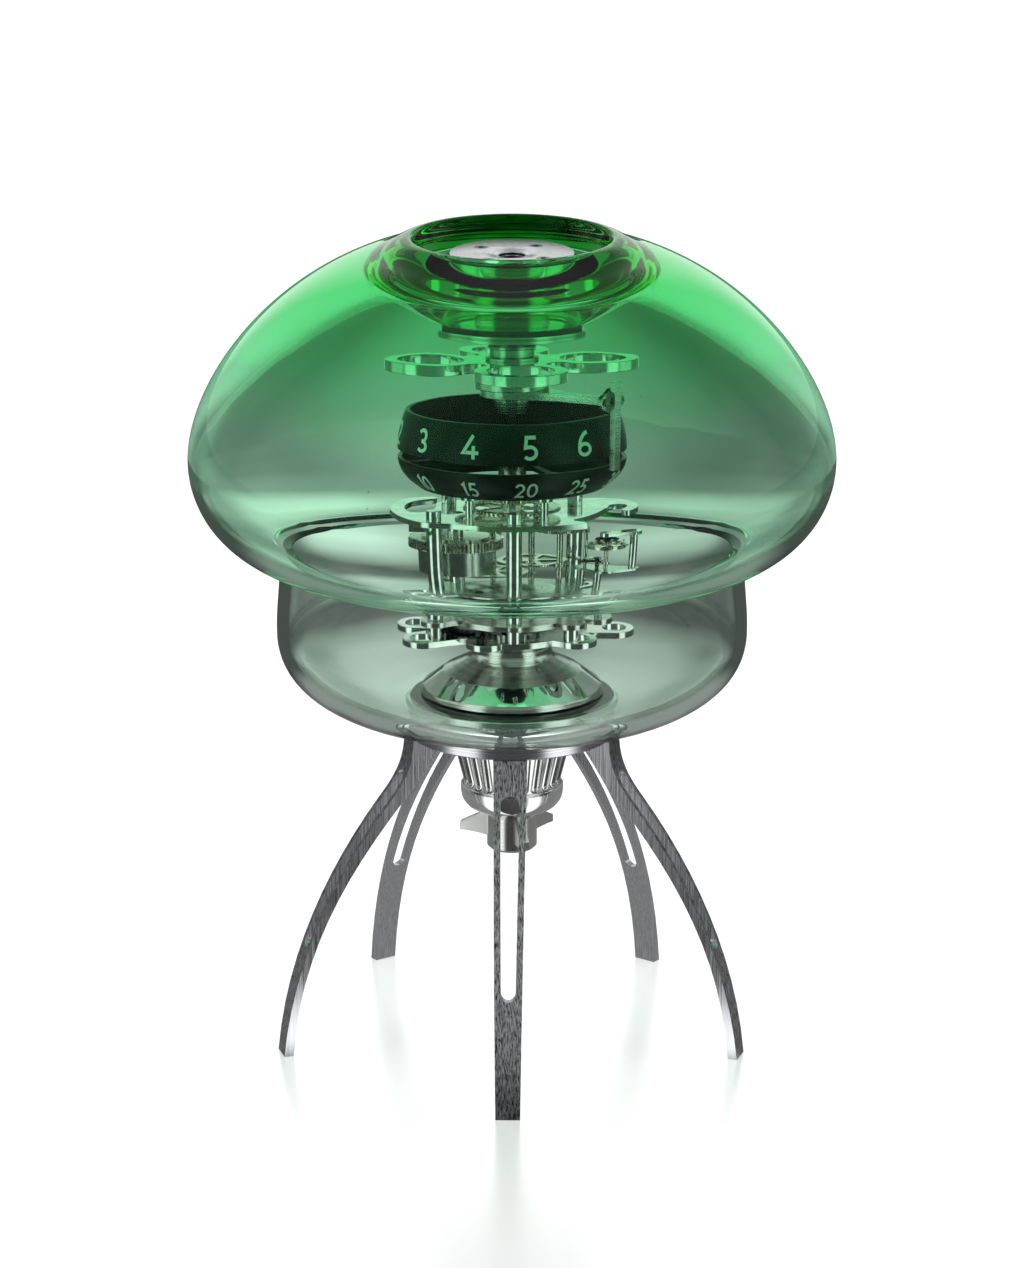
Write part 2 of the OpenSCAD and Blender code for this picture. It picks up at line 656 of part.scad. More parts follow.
module top_plate() color(bright) difference() {
  plate(top_z, top_t) polygon(spread(top_outline_share));
  rod_cut(axis_at, top_z, column_r, top_t);
  rod_cut(barrel_at, top_z, barrel_arbor_r + run, top_t);
  rod_cut(centre_at, top_z, arbor_r + run, top_t);
  for (p = [third_at, fourth_at, escape_at]) rod_cut(p, top_z, hole_r, top_t);
}

// Bridge over the motion work
bridge_post_r = 1.5;
bridge_post_at = centre_dist * 1.06 * [for (a = [-57, -136, 64]) polar(1, a)];
bridge_ring_r = 8.6;
bridge_arm_r = 3.2;
module motion_bridge() color(bright) difference() {
  plate(bridge_z, bridge_t) {
    circle(r = bridge_ring_r);
    for (p = concat(bridge_post_at, [centre_at]))
      ribbon([[p[0] * 0.3, p[1] * 0.3, bridge_arm_r], [p[0], p[1], bridge_arm_r]]);
  }
  rod_cut(axis_at, bridge_z, minute_pipe_r + air, bridge_t);
  rod_cut(centre_at, bridge_z, hole_r, bridge_t);
}
module bridge_posts() color(bright) for (p = bridge_post_at)
  rod(p, top_top, bridge_post_r, bridge_z - top_top);

// Fixed column that the number rings turn about
hour_pipe_wall = 1.2;
minute_pipe_wall = 1.1;
hour_pipe_r = column_r + run + hour_pipe_wall;
minute_pipe_r = hour_pipe_r + run + minute_pipe_wall;
module centre_column() color(steel) rod(axis_at, top_z, column_r, collar_z - top_z);
module column_collar() color(satin) rod(axis_at, collar_z, collar_r, collar_h);

// Pointer
pointer_dir = -90 + pointer_angle;
bar_w = 4;
bar_t = 2.2;
bar_over = 9;
bar_under = 4.3;
bracket_t = 2;
bracket_screw_x = 4.6;
bracket_r = 3.6;
arm_end_w = 5.2;
arm_base_r = 12;
pointer_r = ring_r + pointer_gap;
arm_reach = pointer_r - bracket_t;
module pointer_frame() rotate([0, 0, pointer_dir]) children();
module pointer_arm() color(steel) pointer_frame() difference() {
  plate(arm_z, arm_t) {
    ribbon([[0, 0, arm_base_r], [arm_reach / 2, 0, arm_end_w / 2]]);
    translate([arm_reach / 2, -arm_end_w / 2]) square([arm_reach / 2, arm_end_w]);
  }
  for (a = hub_screw_angles) rod_cut(polar(hub_screw_at, a), arm_z, screw_r, arm_t);
}
hub_screw_at = 9.4;
hub_screw_angles = [60, 180, 300];
bracket_z = arm_z + arm_t / 2;
bracket_ear_share = 0.75;
bracket_middle_share = 1.25;
module pointer_bracket() color(steel) pointer_frame()
  translate([arm_reach, 0, bracket_z]) rotate([90, 0, 90]) difference() {
    linear_extrude(bracket_t) ribbon([
      [-bracket_screw_x, 0, bracket_r * bracket_ear_share], [0, 0, bracket_r * bracket_middle_share],
      [bracket_screw_x, 0, bracket_r * bracket_ear_share]
    ]);
    for (s = [-1, 1]) translate([s * bracket_screw_x, 0, -over])
      cylinder(r = screw_r, h = bracket_t + 2 * over);
  }
module pointer_bar() color(steel) pointer_frame()
  translate([pointer_r, -bar_w / 2, hour_z - bar_under])
    cube([bar_t, bar_w, bracket_z - hour_z + bar_under + bar_over - arm_t]);
screw_r = 0.8;
screw_head_r = 1.4;
screw_head_t = 0.9;
screw_len = 4;
module screw(len, head_t) {
  cylinder(r = screw_r, h = len, $fn = 24);
  translate([0, 0, -head_t]) cylinder(r = screw_head_r, h = head_t, $fn = 24);
}
module small_screws() color(bright) {
  pointer_frame() {
    for (s = [-1, 1]) translate([pointer_r, s * bracket_screw_x, bracket_z]) rotate([0, -90, 0])
      screw(bracket_t, screw_head_t);
    for (a = hub_screw_angles) translate([hub_screw_at * cos(a), hub_screw_at * sin(a), arm_z])
      screw(arm_t + screw_len, screw_head_t);
  }
  rod(click_at, low_petal_top, click_pin_r, low_gap + mid_t);
  rod(click_at, mid_top, click_pin_r * 1.6, screw_head_t);
}
module boss_disc() color(bright) difference() {
  rod(axis_at, boss_z, boss_disc_r, boss_disc_t);
  for (a = hub_screw_angles) rod_cut(polar(hub_screw_at, a + pointer_dir), boss_z - over, screw_r, screw_len);
}

// Upper petal plate: four rings round a disc, with round notches between them
petals = 4;
notch_r = 4.3;
notch_at = petal_centre * 0.724;
petal_hub_r = petal_centre * 0.66;
module upper_petal_plate() color(bright) plate(petal_z, petal_t) rotate(petal_yaw) difference() {
  union() {
    circle(r = petal_hub_r);
    for (i = [0:petals - 1]) translate(polar(petal_centre, -90 + i * 360 / petals)) circle(r = petal_ring_r);
  }
  for (i = [0:petals - 1]) {
    translate(polar(petal_centre, -90 + i * 360 / petals)) circle(r = petal_ring_r - petal_band);
    translate(polar(notch_at, -45 + i * 360 / petals)) circle(r = notch_r);
  }
}
spool_step = 1.6;
spool_flare_share = 1.85;
spool_ring_share = 0.4;
spool_curve_share = [0.58, 0.8, 0.9];
module spool() color(satin) {
  foot_r = spool_r + spool_step;
  ring_r_at = spool_r + spool_step * spool_ring_share;
  rotate_extrude() polygon(concat(
    [[0, petal_top], [foot_r, petal_top], [foot_r, petal_top + spool_step * 0.6],
     [spool_r, petal_top + spool_step * 0.8], [spool_r, petal_top + spool_h * 0.5],
     [ring_r_at, petal_top + spool_h * 0.53]],
    curve([
      [ring_r_at, petal_top + spool_h * spool_curve_share[0]],
      [ring_r_at, petal_top + spool_h * spool_curve_share[1]],
      [spool_r * 1.5, petal_top + spool_h * spool_curve_share[2]], [spool_r * spool_flare_share, disc_z]
    ]),
    [[0, disc_z]]
  ));
}
boss_r = neck_hole_r - air;
module clamp_disc() color(steel) difference() {
  union() {
    rod(axis_at, disc_z, disc_r, disc_t);
    rod(axis_at, disc_top, boss_r, cap_z - disc_top);
  }
  rod(axis_at, neck_glass_z, hang_r, cap_top - neck_glass_z);
  for (i = [0:cap_screws_n - 1])
    rod(cap_screw_place(i), cap_z - cap_screw_len, cap_screw_r, cap_screw_len + over);
}
module neck_gasket() color(rubber) tube(disc_top, neck_gasket_r, boss_r, neck_gasket_t);
module cap_gasket() color(rubber) tube(well_z, cap_gasket_r, boss_r, cap_gasket_t);
cap_screws_n = 4;
cap_screw_r = 1.5;
cap_head_r = 2.6;
cap_head_t = 1.3;
cap_screw_len = 6;
cap_socket_r = 1.3;
cap_screw_yaw = -38;
cap_edge = 0.5;
cap_mouth_r = 9.4;
cap_mouth_h = 1;
function cap_screw_place(i) = polar(cap_screw_circle, cap_screw_yaw + i * 360 / cap_screws_n);
module top_cap() color(bright) difference() {
  rotate_extrude() polygon([
    [hang_r, cap_z], [cap_r, cap_z], [cap_r, cap_top - cap_edge], [cap_r - cap_edge, cap_top],
    [cap_mouth_r, cap_top], [hang_r, cap_top - cap_mouth_h]
  ]);
  for (i = [0:cap_screws_n - 1]) {
    rod_cut(cap_screw_place(i), cap_z, cap_screw_r, cap_t);
    rod(cap_screw_place(i), cap_top - cap_head_t, cap_head_r, cap_head_t + over);
  }
}
module cap_screws() color(steel) for (i = [0:cap_screws_n - 1]) difference() {
  union() {
    rod(cap_screw_place(i), cap_z - cap_screw_len, cap_screw_r, cap_screw_len + cap_t - cap_head_t);
    rod(cap_screw_place(i), cap_top - cap_head_t, cap_head_r, cap_head_t);
  }
  translate([0, 0, cap_top - cap_head_t * 0.6]) translate(cap_screw_place(i))
    cylinder(r = cap_socket_r, h = cap_head_t + over, $fn = 6);
}

// Winding key, arbor and ratchet
key_z = cup_z - air - key_h;
wing_tip_share = [0.5, 0.32];
module winding_key() color(satin) {
  difference() {
    rotate_extrude() polygon([
      [0, key_z], [key_r - plate_edge * 2, key_z], [key_r, key_z + plate_edge * 2],
      [key_r, key_z + key_h * 0.82], [key_r * 0.8, key_z + key_h], [0, key_z + key_h]
    ]);
    rod(axis_at, key_z + key_h / 2, wind_arbor_r, key_h);
  }
  for (i = [0:wings - 1]) rotate([0, 0, -76 + i * 360 / wings]) rotate([90, 0, 0])
    linear_extrude(wing_t, center = true) polygon(concat(
      curve([
        [key_r * 0.6, key_z + key_h * 0.2], [key_r * 1.25, key_z + key_h * 0.28],
        [wing_reach * 0.8, key_z + key_h * wing_tip_share[1]], [wing_reach, key_z + key_h * wing_tip_share[1]]
      ]),
      [[wing_reach, key_z + key_h * wing_tip_share[0]], [key_r * 0.6, key_z + key_h * 0.97]]
    ));
}
module winding_arbor() color(steel) {
  rod(axis_at, key_z + key_h / 2, wind_arbor_r, wind_z - key_z - key_h / 2);
  plate(wind_z, wind_t) toothed(wind_m, wind_teeth, 0);
  rod(axis_at, wind_z + wind_t, pivot_r * 2, mid_z + mid_t / 2 - wind_z - wind_t);
}
barrel_arbor_r = 3;
ratchet_phase = mate(axis_at, barrel_at, 0, wind_teeth, ratchet_teeth);
module on_barrel() translate([barrel_at[0], barrel_at[1], 0]) children();
module ratchet_wheel() color(steel) on_barrel() difference() {
  plate(wind_z, wind_t) toothed(wind_m, ratchet_teeth, ratchet_phase);
  rod_cut(axis_at, wind_z, barrel_arbor_r, wind_t);
}
module barrel_arbor() color(steel) on_barrel()
  rod(axis_at, wind_z, barrel_arbor_r, top_z + top_t / 2 - wind_z);

// Barrel
drum_wall = 1.2;
drum_floor = 1.2;
module barrel_drum() color(bright) on_barrel() difference() {
  rod(axis_at, drum_z, drum_r, drum_h);
  rod(axis_at, drum_z + drum_floor, drum_r - drum_wall, drum_h);
  rod_cut(axis_at, drum_z, barrel_arbor_r + run, drum_h);
}
module great_wheel() color(bright) on_barrel() difference() {
  union() {
    plate(great_z, great_h) toothed(great_m, great_teeth, 0);
    rod(axis_at, great_z + great_h, drum_r * 0.9, cover_t);
  }
  rod_cut(axis_at, great_z, barrel_arbor_r + run, great_h + cover_t);
}
spring_turns = 6;
spring_t = 0.5;
spring_steps = 20;
module spiral(r0, r1, turns, t, steps) {
  n = turns * steps;
  at = [for (i = [0:n]) [r0 + (r1 - r0) * i / n, 360 * i / steps]];
  polygon(concat([for (q = at) polar(q[0] - t / 2, q[1])], [for (q = back(at)) polar(q[0] + t / 2, q[1])]));
}
module mainspring() color(steel) on_barrel()
  plate(drum_z + drum_floor + run, drum_h - drum_floor - 2 * run)
    spiral(barrel_arbor_r + air + spring_t, drum_r - drum_wall - air - spring_t, spring_turns, spring_t,
      spring_steps);
block_w = 7;
block_d = 5;
block_h = 5;
block_inset = 0.7;
block_forward = 11;
block_at = [barrel_at[0] - tip_of(great_m, great_teeth) + block_inset, barrel_at[1] - block_forward];
module barrel_block() color(bright) plate(top_z - block_h, block_h) translate(block_at)
  square([block_w, block_d]);

// Click: the pawl that keeps the ratchet wheel from running back, on a pin between two plates.
// Its nose stands just clear of the tooth tips, and it swings outwards to let a tooth by
click_pin_r = 1;
click_r = 2.4;
click_nose_r = 0.5;
click_t = 2.4;
click_z = low_petal_top + (low_gap - click_t) / 2;
click_pin_angle = 300;
click_nose_angle = 269;
click_gap = 0.3;
click_at = barrel_at + polar(tip_of(wind_m, ratchet_teeth) + click_r * 2, click_pin_angle);
click_nose = barrel_at + polar(tip_of(wind_m, ratchet_teeth) + click_gap + click_nose_r, click_nose_angle);
module click() color(steel) difference() {
  plate(click_z, click_t) ribbon([concat(click_at, [click_r]), concat(click_nose, [click_nose_r])]);
  rod_cut(click_at, click_z, click_pin_r + run, click_t);
}

// Going train
module pinion(p, z, h, m, teeth, phase) translate([p[0], p[1], z]) linear_extrude(h) toothed(m, teeth, phase);
module train_wheel(p, z, m, teeth, phase, spokes) translate([p[0], p[1], z]) linear_extrude(wheel_t)
  crossed_wheel(m, teeth, phase, spokes);
module centre_wheel() color(bright) {
  rod(centre_at, mid_z, pivot_r, mid_t + over);
  rod(centre_at, mid_top + air, arbor_r, bridge_z - mid_top - 2 * air);
  rod(centre_at, bridge_z - over, pivot_r, bridge_t + over);
  train_wheel(centre_at, centre_wheel_z, centre_m, centre_teeth, 0, 5);
  pinion(centre_at, great_z - pinion_over, great_h + 2 * pinion_over, great_m, centre_pinion,
    mate(barrel_at, centre_at, 0, great_teeth, centre_pinion));
  pinion(centre_at, hour_wheel_z - pinion_over, wheel_t + 2 * pinion_over, hour_m, motion_pinion,
    mate(axis_at, centre_at, 0, hour_teeth, motion_pinion));
  train_wheel(centre_at, minute_wheel_z, minute_m, motion_teeth,
    mate(axis_at, centre_at, 0, minute_teeth, motion_teeth), 5);
}
module third_wheel() color(bright) {
  rod(third_at, mid_z, pivot_r, top_top - mid_z);
  rod(third_at, mid_top + air, arbor_r, pillar_h - 2 * air);
  pinion(third_at, centre_wheel_z - pinion_over, wheel_t + 2 * pinion_over, centre_m, third_pinion,
    mate(centre_at, third_at, 0, centre_teeth, third_pinion));
  train_wheel(third_at, third_wheel_z, third_m, third_teeth, 0, 5);
}
module fourth_wheel() color(bright) {
  rod(fourth_at, mid_z, pivot_r, top_top - mid_z);
  rod(fourth_at, mid_top + air, arbor_r, pillar_h - 2 * air);
  pinion(fourth_at, third_wheel_z - pinion_over, wheel_t + 2 * pinion_over, third_m, fourth_pinion,
    mate(third_at, fourth_at, 0, third_teeth, fourth_pinion));
  train_wheel(fourth_at, fourth_wheel_z, fourth_m, fourth_teeth, 0, 4);
}

// Escapement: escape wheel, pallet fork and balance on a platform of their own
escape_r = 4.2;
escape_root_share = 0.72;
escape_lean = 9;
escape_arbor_r = root_of(fourth_m, escape_pinion) - run;
platform_lift_share = 0.36;
platform_z = mid_top + pillar_h * platform_lift_share;
platform_t = 1.5;
platform_end_r = 4.4;
cock_foot_r = 3;
cock_end_r = 2.6;
pallet_dist = 6.3;
pallet_dir = -44;
balance_dist = 6.8;
balance_dir = -62;
pallet_at = escape_at + polar(pallet_dist, pallet_dir);
balance_at = pallet_at + polar(balance_dist, balance_dir);
module escape_teeth_shape() polygon([for (i = [0:escape_teeth - 1]) let (a = i * 360 / escape_teeth) each [
  polar(escape_r * escape_root_share, a), polar(escape_r, a + escape_lean),
  polar(escape_r, a + escape_lean * 1.2), polar(escape_r * escape_root_share, a + escape_lean * 0.9)
]]);
module escape_wheel() color(steel) {
  rod(escape_at, platform_z, pivot_r, top_top - platform_z);
  rod(escape_at, platform_z + platform_t + air, escape_arbor_r, top_z - platform_z - platform_t - 2 * air);
  pinion(escape_at, fourth_wheel_z - pinion_over, wheel_t + 2 * pinion_over, fourth_m, escape_pinion,
    mate(fourth_at, escape_at, 0, fourth_teeth, escape_pinion));
  plate(escape_wheel_z, wheel_t) translate(escape_at) difference() {
    escape_teeth_shape();
    for (i = [0:3]) translate(polar(escape_r * 0.46, 45 + i * 90)) circle(r = escape_r * 0.16);
  }
}
fork_w = 0.9;
fork_reach = 4;
stone_gap = 0.35;
module pallet_fork() color(steel) {
  arbor_z = platform_z + platform_t + air;
  rod(pallet_at, platform_z, pivot_r, platform_t + air);
  rod(pallet_at, arbor_z, arbor_r * 0.7, escape_wheel_z + 2 * wheel_t - arbor_z);
  plate(escape_wheel_z, wheel_t) difference() {
    ribbon([
      concat(escape_at + polar(escape_r + stone_gap + fork_w, pallet_dir + 58), [fork_w]),
      concat(pallet_at, [fork_w * 1.4]),
      concat(escape_at + polar(escape_r + stone_gap + fork_w, pallet_dir - 58), [fork_w])
    ]);
    translate(escape_at) circle(r = escape_r + stone_gap);
  }
  plate(escape_wheel_z, wheel_t) ribbon([
    concat(pallet_at, [fork_w]), concat(pallet_at + polar(fork_reach, balance_dir), [fork_w * 0.7])
  ]);
}
rim_w = 1;
rim_h = 1.8;
balance_drop = 12;
balance_z = top_z - balance_drop;
staff_r = 0.8;
timing_screws = 10;
timing_r = 0.55;
module balance_wheel() color(bright) {
  rod(balance_at, platform_z, pivot_r, cock_z + cock_t - platform_z);
  rod(balance_at, platform_z + platform_t + air, staff_r, cock_z - platform_z - platform_t - 2 * air);
  rod(balance_at, escape_wheel_z, staff_r * 1.8, wheel_t);
  plate(balance_z, rim_h) translate(balance_at) {
    difference() {
      circle(r = balance_r);
      circle(r = balance_r - rim_w);
    }
    for (a = [20, 110]) rotate(a) square([2 * balance_r - rim_w, rim_w], center = true);
    circle(r = rim_w * 1.5);
  }
  for (i = [0:timing_screws - 1]) translate([balance_at[0], balance_at[1], balance_z + rim_h / 2])
    rotate([0, 0, i * 360 / timing_screws + 2]) translate([balance_r - rim_w / 2, 0, 0]) rotate([0, 90, 0])
      cylinder(r = timing_r, h = rim_w * 1.4, $fn = 16);
}
cock_t = 1.8;
cock_drop = 6;
cock_z = top_z - cock_drop;
hair_t = 0.25;
hair_turns = 5;
hair_r = 4.6;
hair_z = (balance_z + rim_h + cock_z) / 2;
hair_h = 1;
cock_post_at = balance_at + polar(balance_r * 1.45, 18);
module escapement_platform() color(satin) {
  difference() {
    plate(platform_z, platform_t) {
      ribbon([concat(escape_at, [platform_end_r]), concat(pallet_at, [platform_end_r]),
        concat(balance_at, [platform_end_r]), concat(cock_post_at, [cock_foot_r])]);
      ribbon([concat(escape_at, [platform_end_r]), concat(cock_post_at, [cock_foot_r])]);
    }
    for (p = [escape_at, pallet_at, balance_at]) rod_cut(p, platform_z, hole_r, platform_t);
  }
  for (p = platform_post_at) rod(p, mid_top, bridge_post_r, platform_z - mid_top);
}
platform_post_share = [0.62, 0.7];
platform_post_angle = [120, 200];
platform_post_at = [
  escape_at + polar(platform_end_r * platform_post_share[0], platform_post_angle[0]),
  balance_at + polar(platform_end_r * platform_post_share[1], platform_post_angle[1])
];
module balance_cock() color(bright) difference() {
  union() {
    plate(cock_z, cock_t) ribbon([concat(balance_at, [cock_end_r]), concat(cock_post_at, [cock_foot_r])]);
    rod(cock_post_at, platform_z + platform_t, bridge_post_r, cock_z - platform_z - platform_t);
  }
  rod_cut(balance_at, cock_z, hole_r, cock_t);
}
module hairspring() color(steel) translate([balance_at[0], balance_at[1], hair_z]) linear_extrude(hair_h)
  spiral(staff_r + air, hair_r, hair_turns, hair_t, spring_steps);

// Number rings and their pipes
spoke_w = 3;
spoke_t = 1.5;
ring_bulge_share = 0.35;
function ring_wall_path(r0, r1, z0, z1) = curve([
  [r0, z0], [r0 + (ring_r - r0) * ring_bulge_share * 2, z0 + (z1 - z0) / 3],
  [r1 + (ring_r - r1) * ring_bulge_share * 2, z0 + (z1 - z0) * 2 / 3], [r1, z1]
]);
module number_ring(r0, r1, z0, z1) {
  p = ring_wall_path(r0, r1, z0, z1);
  rotate_extrude($fn = 144) polygon(concat(p, [for (q = back(p)) [q[0] - ring_wall, q[1]]]));
}
module spider(z, r, pipe_r, bore) difference() {
  union() {
    for (i = [0:ring_spokes - 1]) rotate([0, 0, 20 + i * 360 / ring_spokes])
      translate([0, -spoke_w / 2, z]) cube([r, spoke_w, spoke_t]);
    rod(axis_at, z, pipe_r + spoke_w / 2, spoke_t);
  }
  rod_cut(axis_at, z, bore, spoke_t);
}
minute_low_r = ring_r - minute_lean;
hour_top_r = ring_r - hour_lean;
module minute_ring() color(dark_green) {
  number_ring(minute_low_r, ring_r, minute_z, minute_top);
  spider(minute_top - spoke_t, ring_r - ring_wall - run, minute_pipe_r, minute_pipe_r);
}
module hour_ring() color(dark_green) {
  number_ring(ring_r, hour_top_r, hour_z, hour_top);
  spider(hour_z, ring_r - ring_wall - run, hour_pipe_r, hour_pipe_r);
}
module minute_pipe() color(steel) {
  tube(minute_wheel_z, minute_pipe_r, hour_pipe_r + run, minute_top - minute_wheel_z);
  difference() {
    plate(minute_wheel_z, wheel_t) toothed(minute_m, minute_teeth, 0);
    rod_cut(axis_at, minute_wheel_z, hour_pipe_r + run, wheel_t);
  }
}
module hour_pipe() color(steel) {
  tube(hour_wheel_z - wheel_t, hour_pipe_r, column_r + run, hour_z + 2 * spoke_t - hour_wheel_z + wheel_t);
  difference() {
    plate(hour_wheel_z, wheel_t) crossed_wheel(hour_m, hour_teeth, 0, 5);
    rod_cut(axis_at, hour_wheel_z, column_r + run, wheel_t);
  }
}

front_leg();
right_leg();
rear_right_leg();
rear_left_leg();
left_leg();
leg_screws();
base_plate();
fluted_cup();
glass_seat();
bell_glass();
bell_gasket();
clamp_ring();
mirror_cone();
neck();
lower_petal_plate();
lower_posts();
mid_plate();
pillars();
top_plate();
pillar_nuts();
motion_bridge();
bridge_posts();
centre_column();
column_collar();
pointer_arm();
pointer_bracket();
pointer_bar();
small_screws();
boss_disc();
upper_petal_plate();
spool();
clamp_disc();
neck_gasket();
dome_glass();
cap_gasket();
top_cap();
cap_screws();
escapement_platform();
balance_cock();
hairspring();
click();
barrel_block();
winding_key();
winding_arbor();
ratchet_wheel();
barrel_arbor();
barrel_drum();
great_wheel();
mainspring();
centre_wheel();
third_wheel();
fourth_wheel();
escape_wheel();
pallet_fork();
balance_wheel();
minute_pipe();
minute_ring();
hour_pipe();
hour_ring();
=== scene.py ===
import json
import math

import bmesh
import bpy
from mathutils import Matrix, Vector


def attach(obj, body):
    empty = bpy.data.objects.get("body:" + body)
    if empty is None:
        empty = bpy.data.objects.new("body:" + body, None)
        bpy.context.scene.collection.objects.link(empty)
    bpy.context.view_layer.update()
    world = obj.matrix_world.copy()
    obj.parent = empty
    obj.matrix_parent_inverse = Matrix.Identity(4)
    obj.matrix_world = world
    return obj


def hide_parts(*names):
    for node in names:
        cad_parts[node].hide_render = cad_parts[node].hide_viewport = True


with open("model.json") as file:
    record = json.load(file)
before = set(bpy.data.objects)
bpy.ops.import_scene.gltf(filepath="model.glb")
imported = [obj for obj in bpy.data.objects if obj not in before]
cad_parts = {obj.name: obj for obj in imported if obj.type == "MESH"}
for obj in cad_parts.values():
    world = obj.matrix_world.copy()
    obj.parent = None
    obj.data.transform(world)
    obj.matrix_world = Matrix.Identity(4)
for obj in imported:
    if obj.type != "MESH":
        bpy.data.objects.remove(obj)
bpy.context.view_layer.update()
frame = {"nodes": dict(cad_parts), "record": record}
scene = bpy.context.scene
scene.view_settings.view_transform = "Standard"
mm = 0.001  # the scene is in metres, the sizes in the dictionaries are in millimetres
print("frame: loaded", len(frame["nodes"]), "nodes")


# Small tools

def toLinear(hexCode):
    # an sRGB hex colour as the linear values that the shaders use
    parts = [int(hexCode[i:i + 2], 16) / 255 for i in (1, 3, 5)]
    return [c / 12.92 if c <= 0.04045 else ((c + 0.055) / 1.055) ** 2.4 for c in parts] + [1.0]


def put(tree, kind, inputs=None, stops=None, **settings):
    # adds one node with its settings, its values or links, and the stops of its ramp
    made = tree.nodes.new(kind)
    for name, value in settings.items():
        setattr(made, name, value)
    for name, value in (inputs or {}).items():
        if isinstance(value, bpy.types.NodeSocket):
            tree.links.new(value, made.inputs[name])
        else:
            made.inputs[name].default_value = value
    if stops:
        elements = made.color_ramp.elements
        while len(elements) < len(stops):
            elements.new(0.5)
        for element, (position, colour) in zip(elements, stops):
            element.position = position
            element.color = colour if isinstance(colour, (list, tuple)) else toLinear(colour)
    return made


def newMaterial(name):
    material = bpy.data.materials.new(name)
    material.use_nodes = True
    material.node_tree.nodes.clear()
    return material, material.node_tree


def finishMaterial(tree, shader, inside=None):
    sockets = {"Surface": shader}
    if inside:
        sockets["Volume"] = inside
    put(tree, "ShaderNodeOutputMaterial", sockets)


def grey(value):
    return (value, value, value, 1.0)


def bezier(points, steps):
    # points along one cubic curve
    a, b, c, d = [Vector(p) for p in points]
    made = []
    for i in range(steps + 1):
        t = i / steps
        s = 1 - t
        made.append(s ** 3 * a + 3 * t * s * s * b + 3 * t * t * s * c + t ** 3 * d)
    return made


def markSharp(shape, limit):
    # smooth faces everywhere, with the edges past the limit kept crisp
    for face in shape.faces:
        face.smooth = True
    for edge in shape.edges:
        edge.smooth = len(edge.link_faces) == 2 and edge.calc_face_angle(0) < math.radians(limit)


def pieceFrom(name, shape, material, body, nodes=()):
    mesh = bpy.data.meshes.new(name)
    shape.to_mesh(mesh)
    shape.free()
    mesh.materials.append(material)
    piece = bpy.data.objects.new(name, mesh)
    scene.collection.objects.link(piece)
    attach(piece, body)
    if nodes:
        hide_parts(*nodes)
    return piece


bodyOf = {}
for bodyName, members in frame["record"]["behaviour"]["bodies"].items():
    for member in members:
        bodyOf[member] = bodyName


# Metals

def brushedMetal(name, look, turn=0.0):
    # stainless steel ground on a belt: a streaked outer face, with the sides and inner face finer
    material, tree = newMaterial(name)
    where = put(tree, "ShaderNodeTexCoord")
    local = put(tree, "ShaderNodeMapping", {"Vector": where.outputs["Object"], "Rotation": (0, 0, -turn)})
    facing = put(tree, "ShaderNodeMapping", {"Vector": where.outputs["Normal"], "Rotation": (0, 0, -turn)},
                 vector_type="NORMAL")
    down = put(tree, "ShaderNodeMapping", {
        "Vector": local.outputs[0],
        "Scale": (1 / (look["streak"] * mm), 1 / (look["grit"] * mm), 1 / (look["streak"] * mm))})
    along = put(tree, "ShaderNodeMapping", {
        "Vector": local.outputs[0],
        "Scale": (1 / (look["sideGrit"] * mm), 1 / (look["sideGrit"] * mm), 1 / (look["sideStreak"] * mm))})
    faceGrain = put(tree, "ShaderNodeTexNoise", {"Vector": down.outputs[0], "Scale": 1.0, "Detail": 4.0,
                                                 "Roughness": 0.65})
    sideGrain = put(tree, "ShaderNodeTexNoise", {"Vector": along.outputs[0], "Scale": 1.0, "Detail": 2.0})
    parts = put(tree, "ShaderNodeSeparateXYZ", {"Vector": facing.outputs[0]})
    onSide = put(tree, "ShaderNodeMapRange", {"Value": parts.outputs["X"], "From Min": 0.5, "From Max": 0.3})
    grain = put(tree, "ShaderNodeMix", {"Factor": onSide.outputs[0], 2: faceGrain.outputs["Fac"],
                                        3: sideGrain.outputs["Fac"]})
    depth = put(tree, "ShaderNodeMix", {"Factor": onSide.outputs[0], 2: look["faceDepth"],
                                        3: look["sideDepth"]})
    faceColour = put(tree, "ShaderNodeValToRGB", {"Fac": grain.outputs[0]},
                     stops=[(0.36, look["dark"]), (0.64, look["pale"])])
    sideColour = put(tree, "ShaderNodeValToRGB", {"Fac": grain.outputs[0]},
                     stops=[(0.3, look["sideDark"]), (0.7, look["sidePale"])])
    colour = put(tree, "ShaderNodeMixRGB", {"Fac": onSide.outputs[0], "Color1": faceColour.outputs[0],
                                            "Color2": sideColour.outputs[0]})
    rough = put(tree, "ShaderNodeMapRange", {"Value": grain.outputs[0], "From Min": 0.3, "From Max": 0.7,
                                             "To Min": look["rough"][0], "To Max": look["rough"][1]})
    bump = put(tree, "ShaderNodeBump", {"Height": grain.outputs[0], "Strength": depth.outputs[0],
                                        "Distance": look["grit"] * mm})
    metal = put(tree, "ShaderNodeBsdfPrincipled", {
        "Base Color": colour.outputs[0], "Metallic": 1.0, "Roughness": rough.outputs[0],
        "Normal": bump.outputs[0]})
    finishMaterial(tree, metal.outputs[0])
    return material


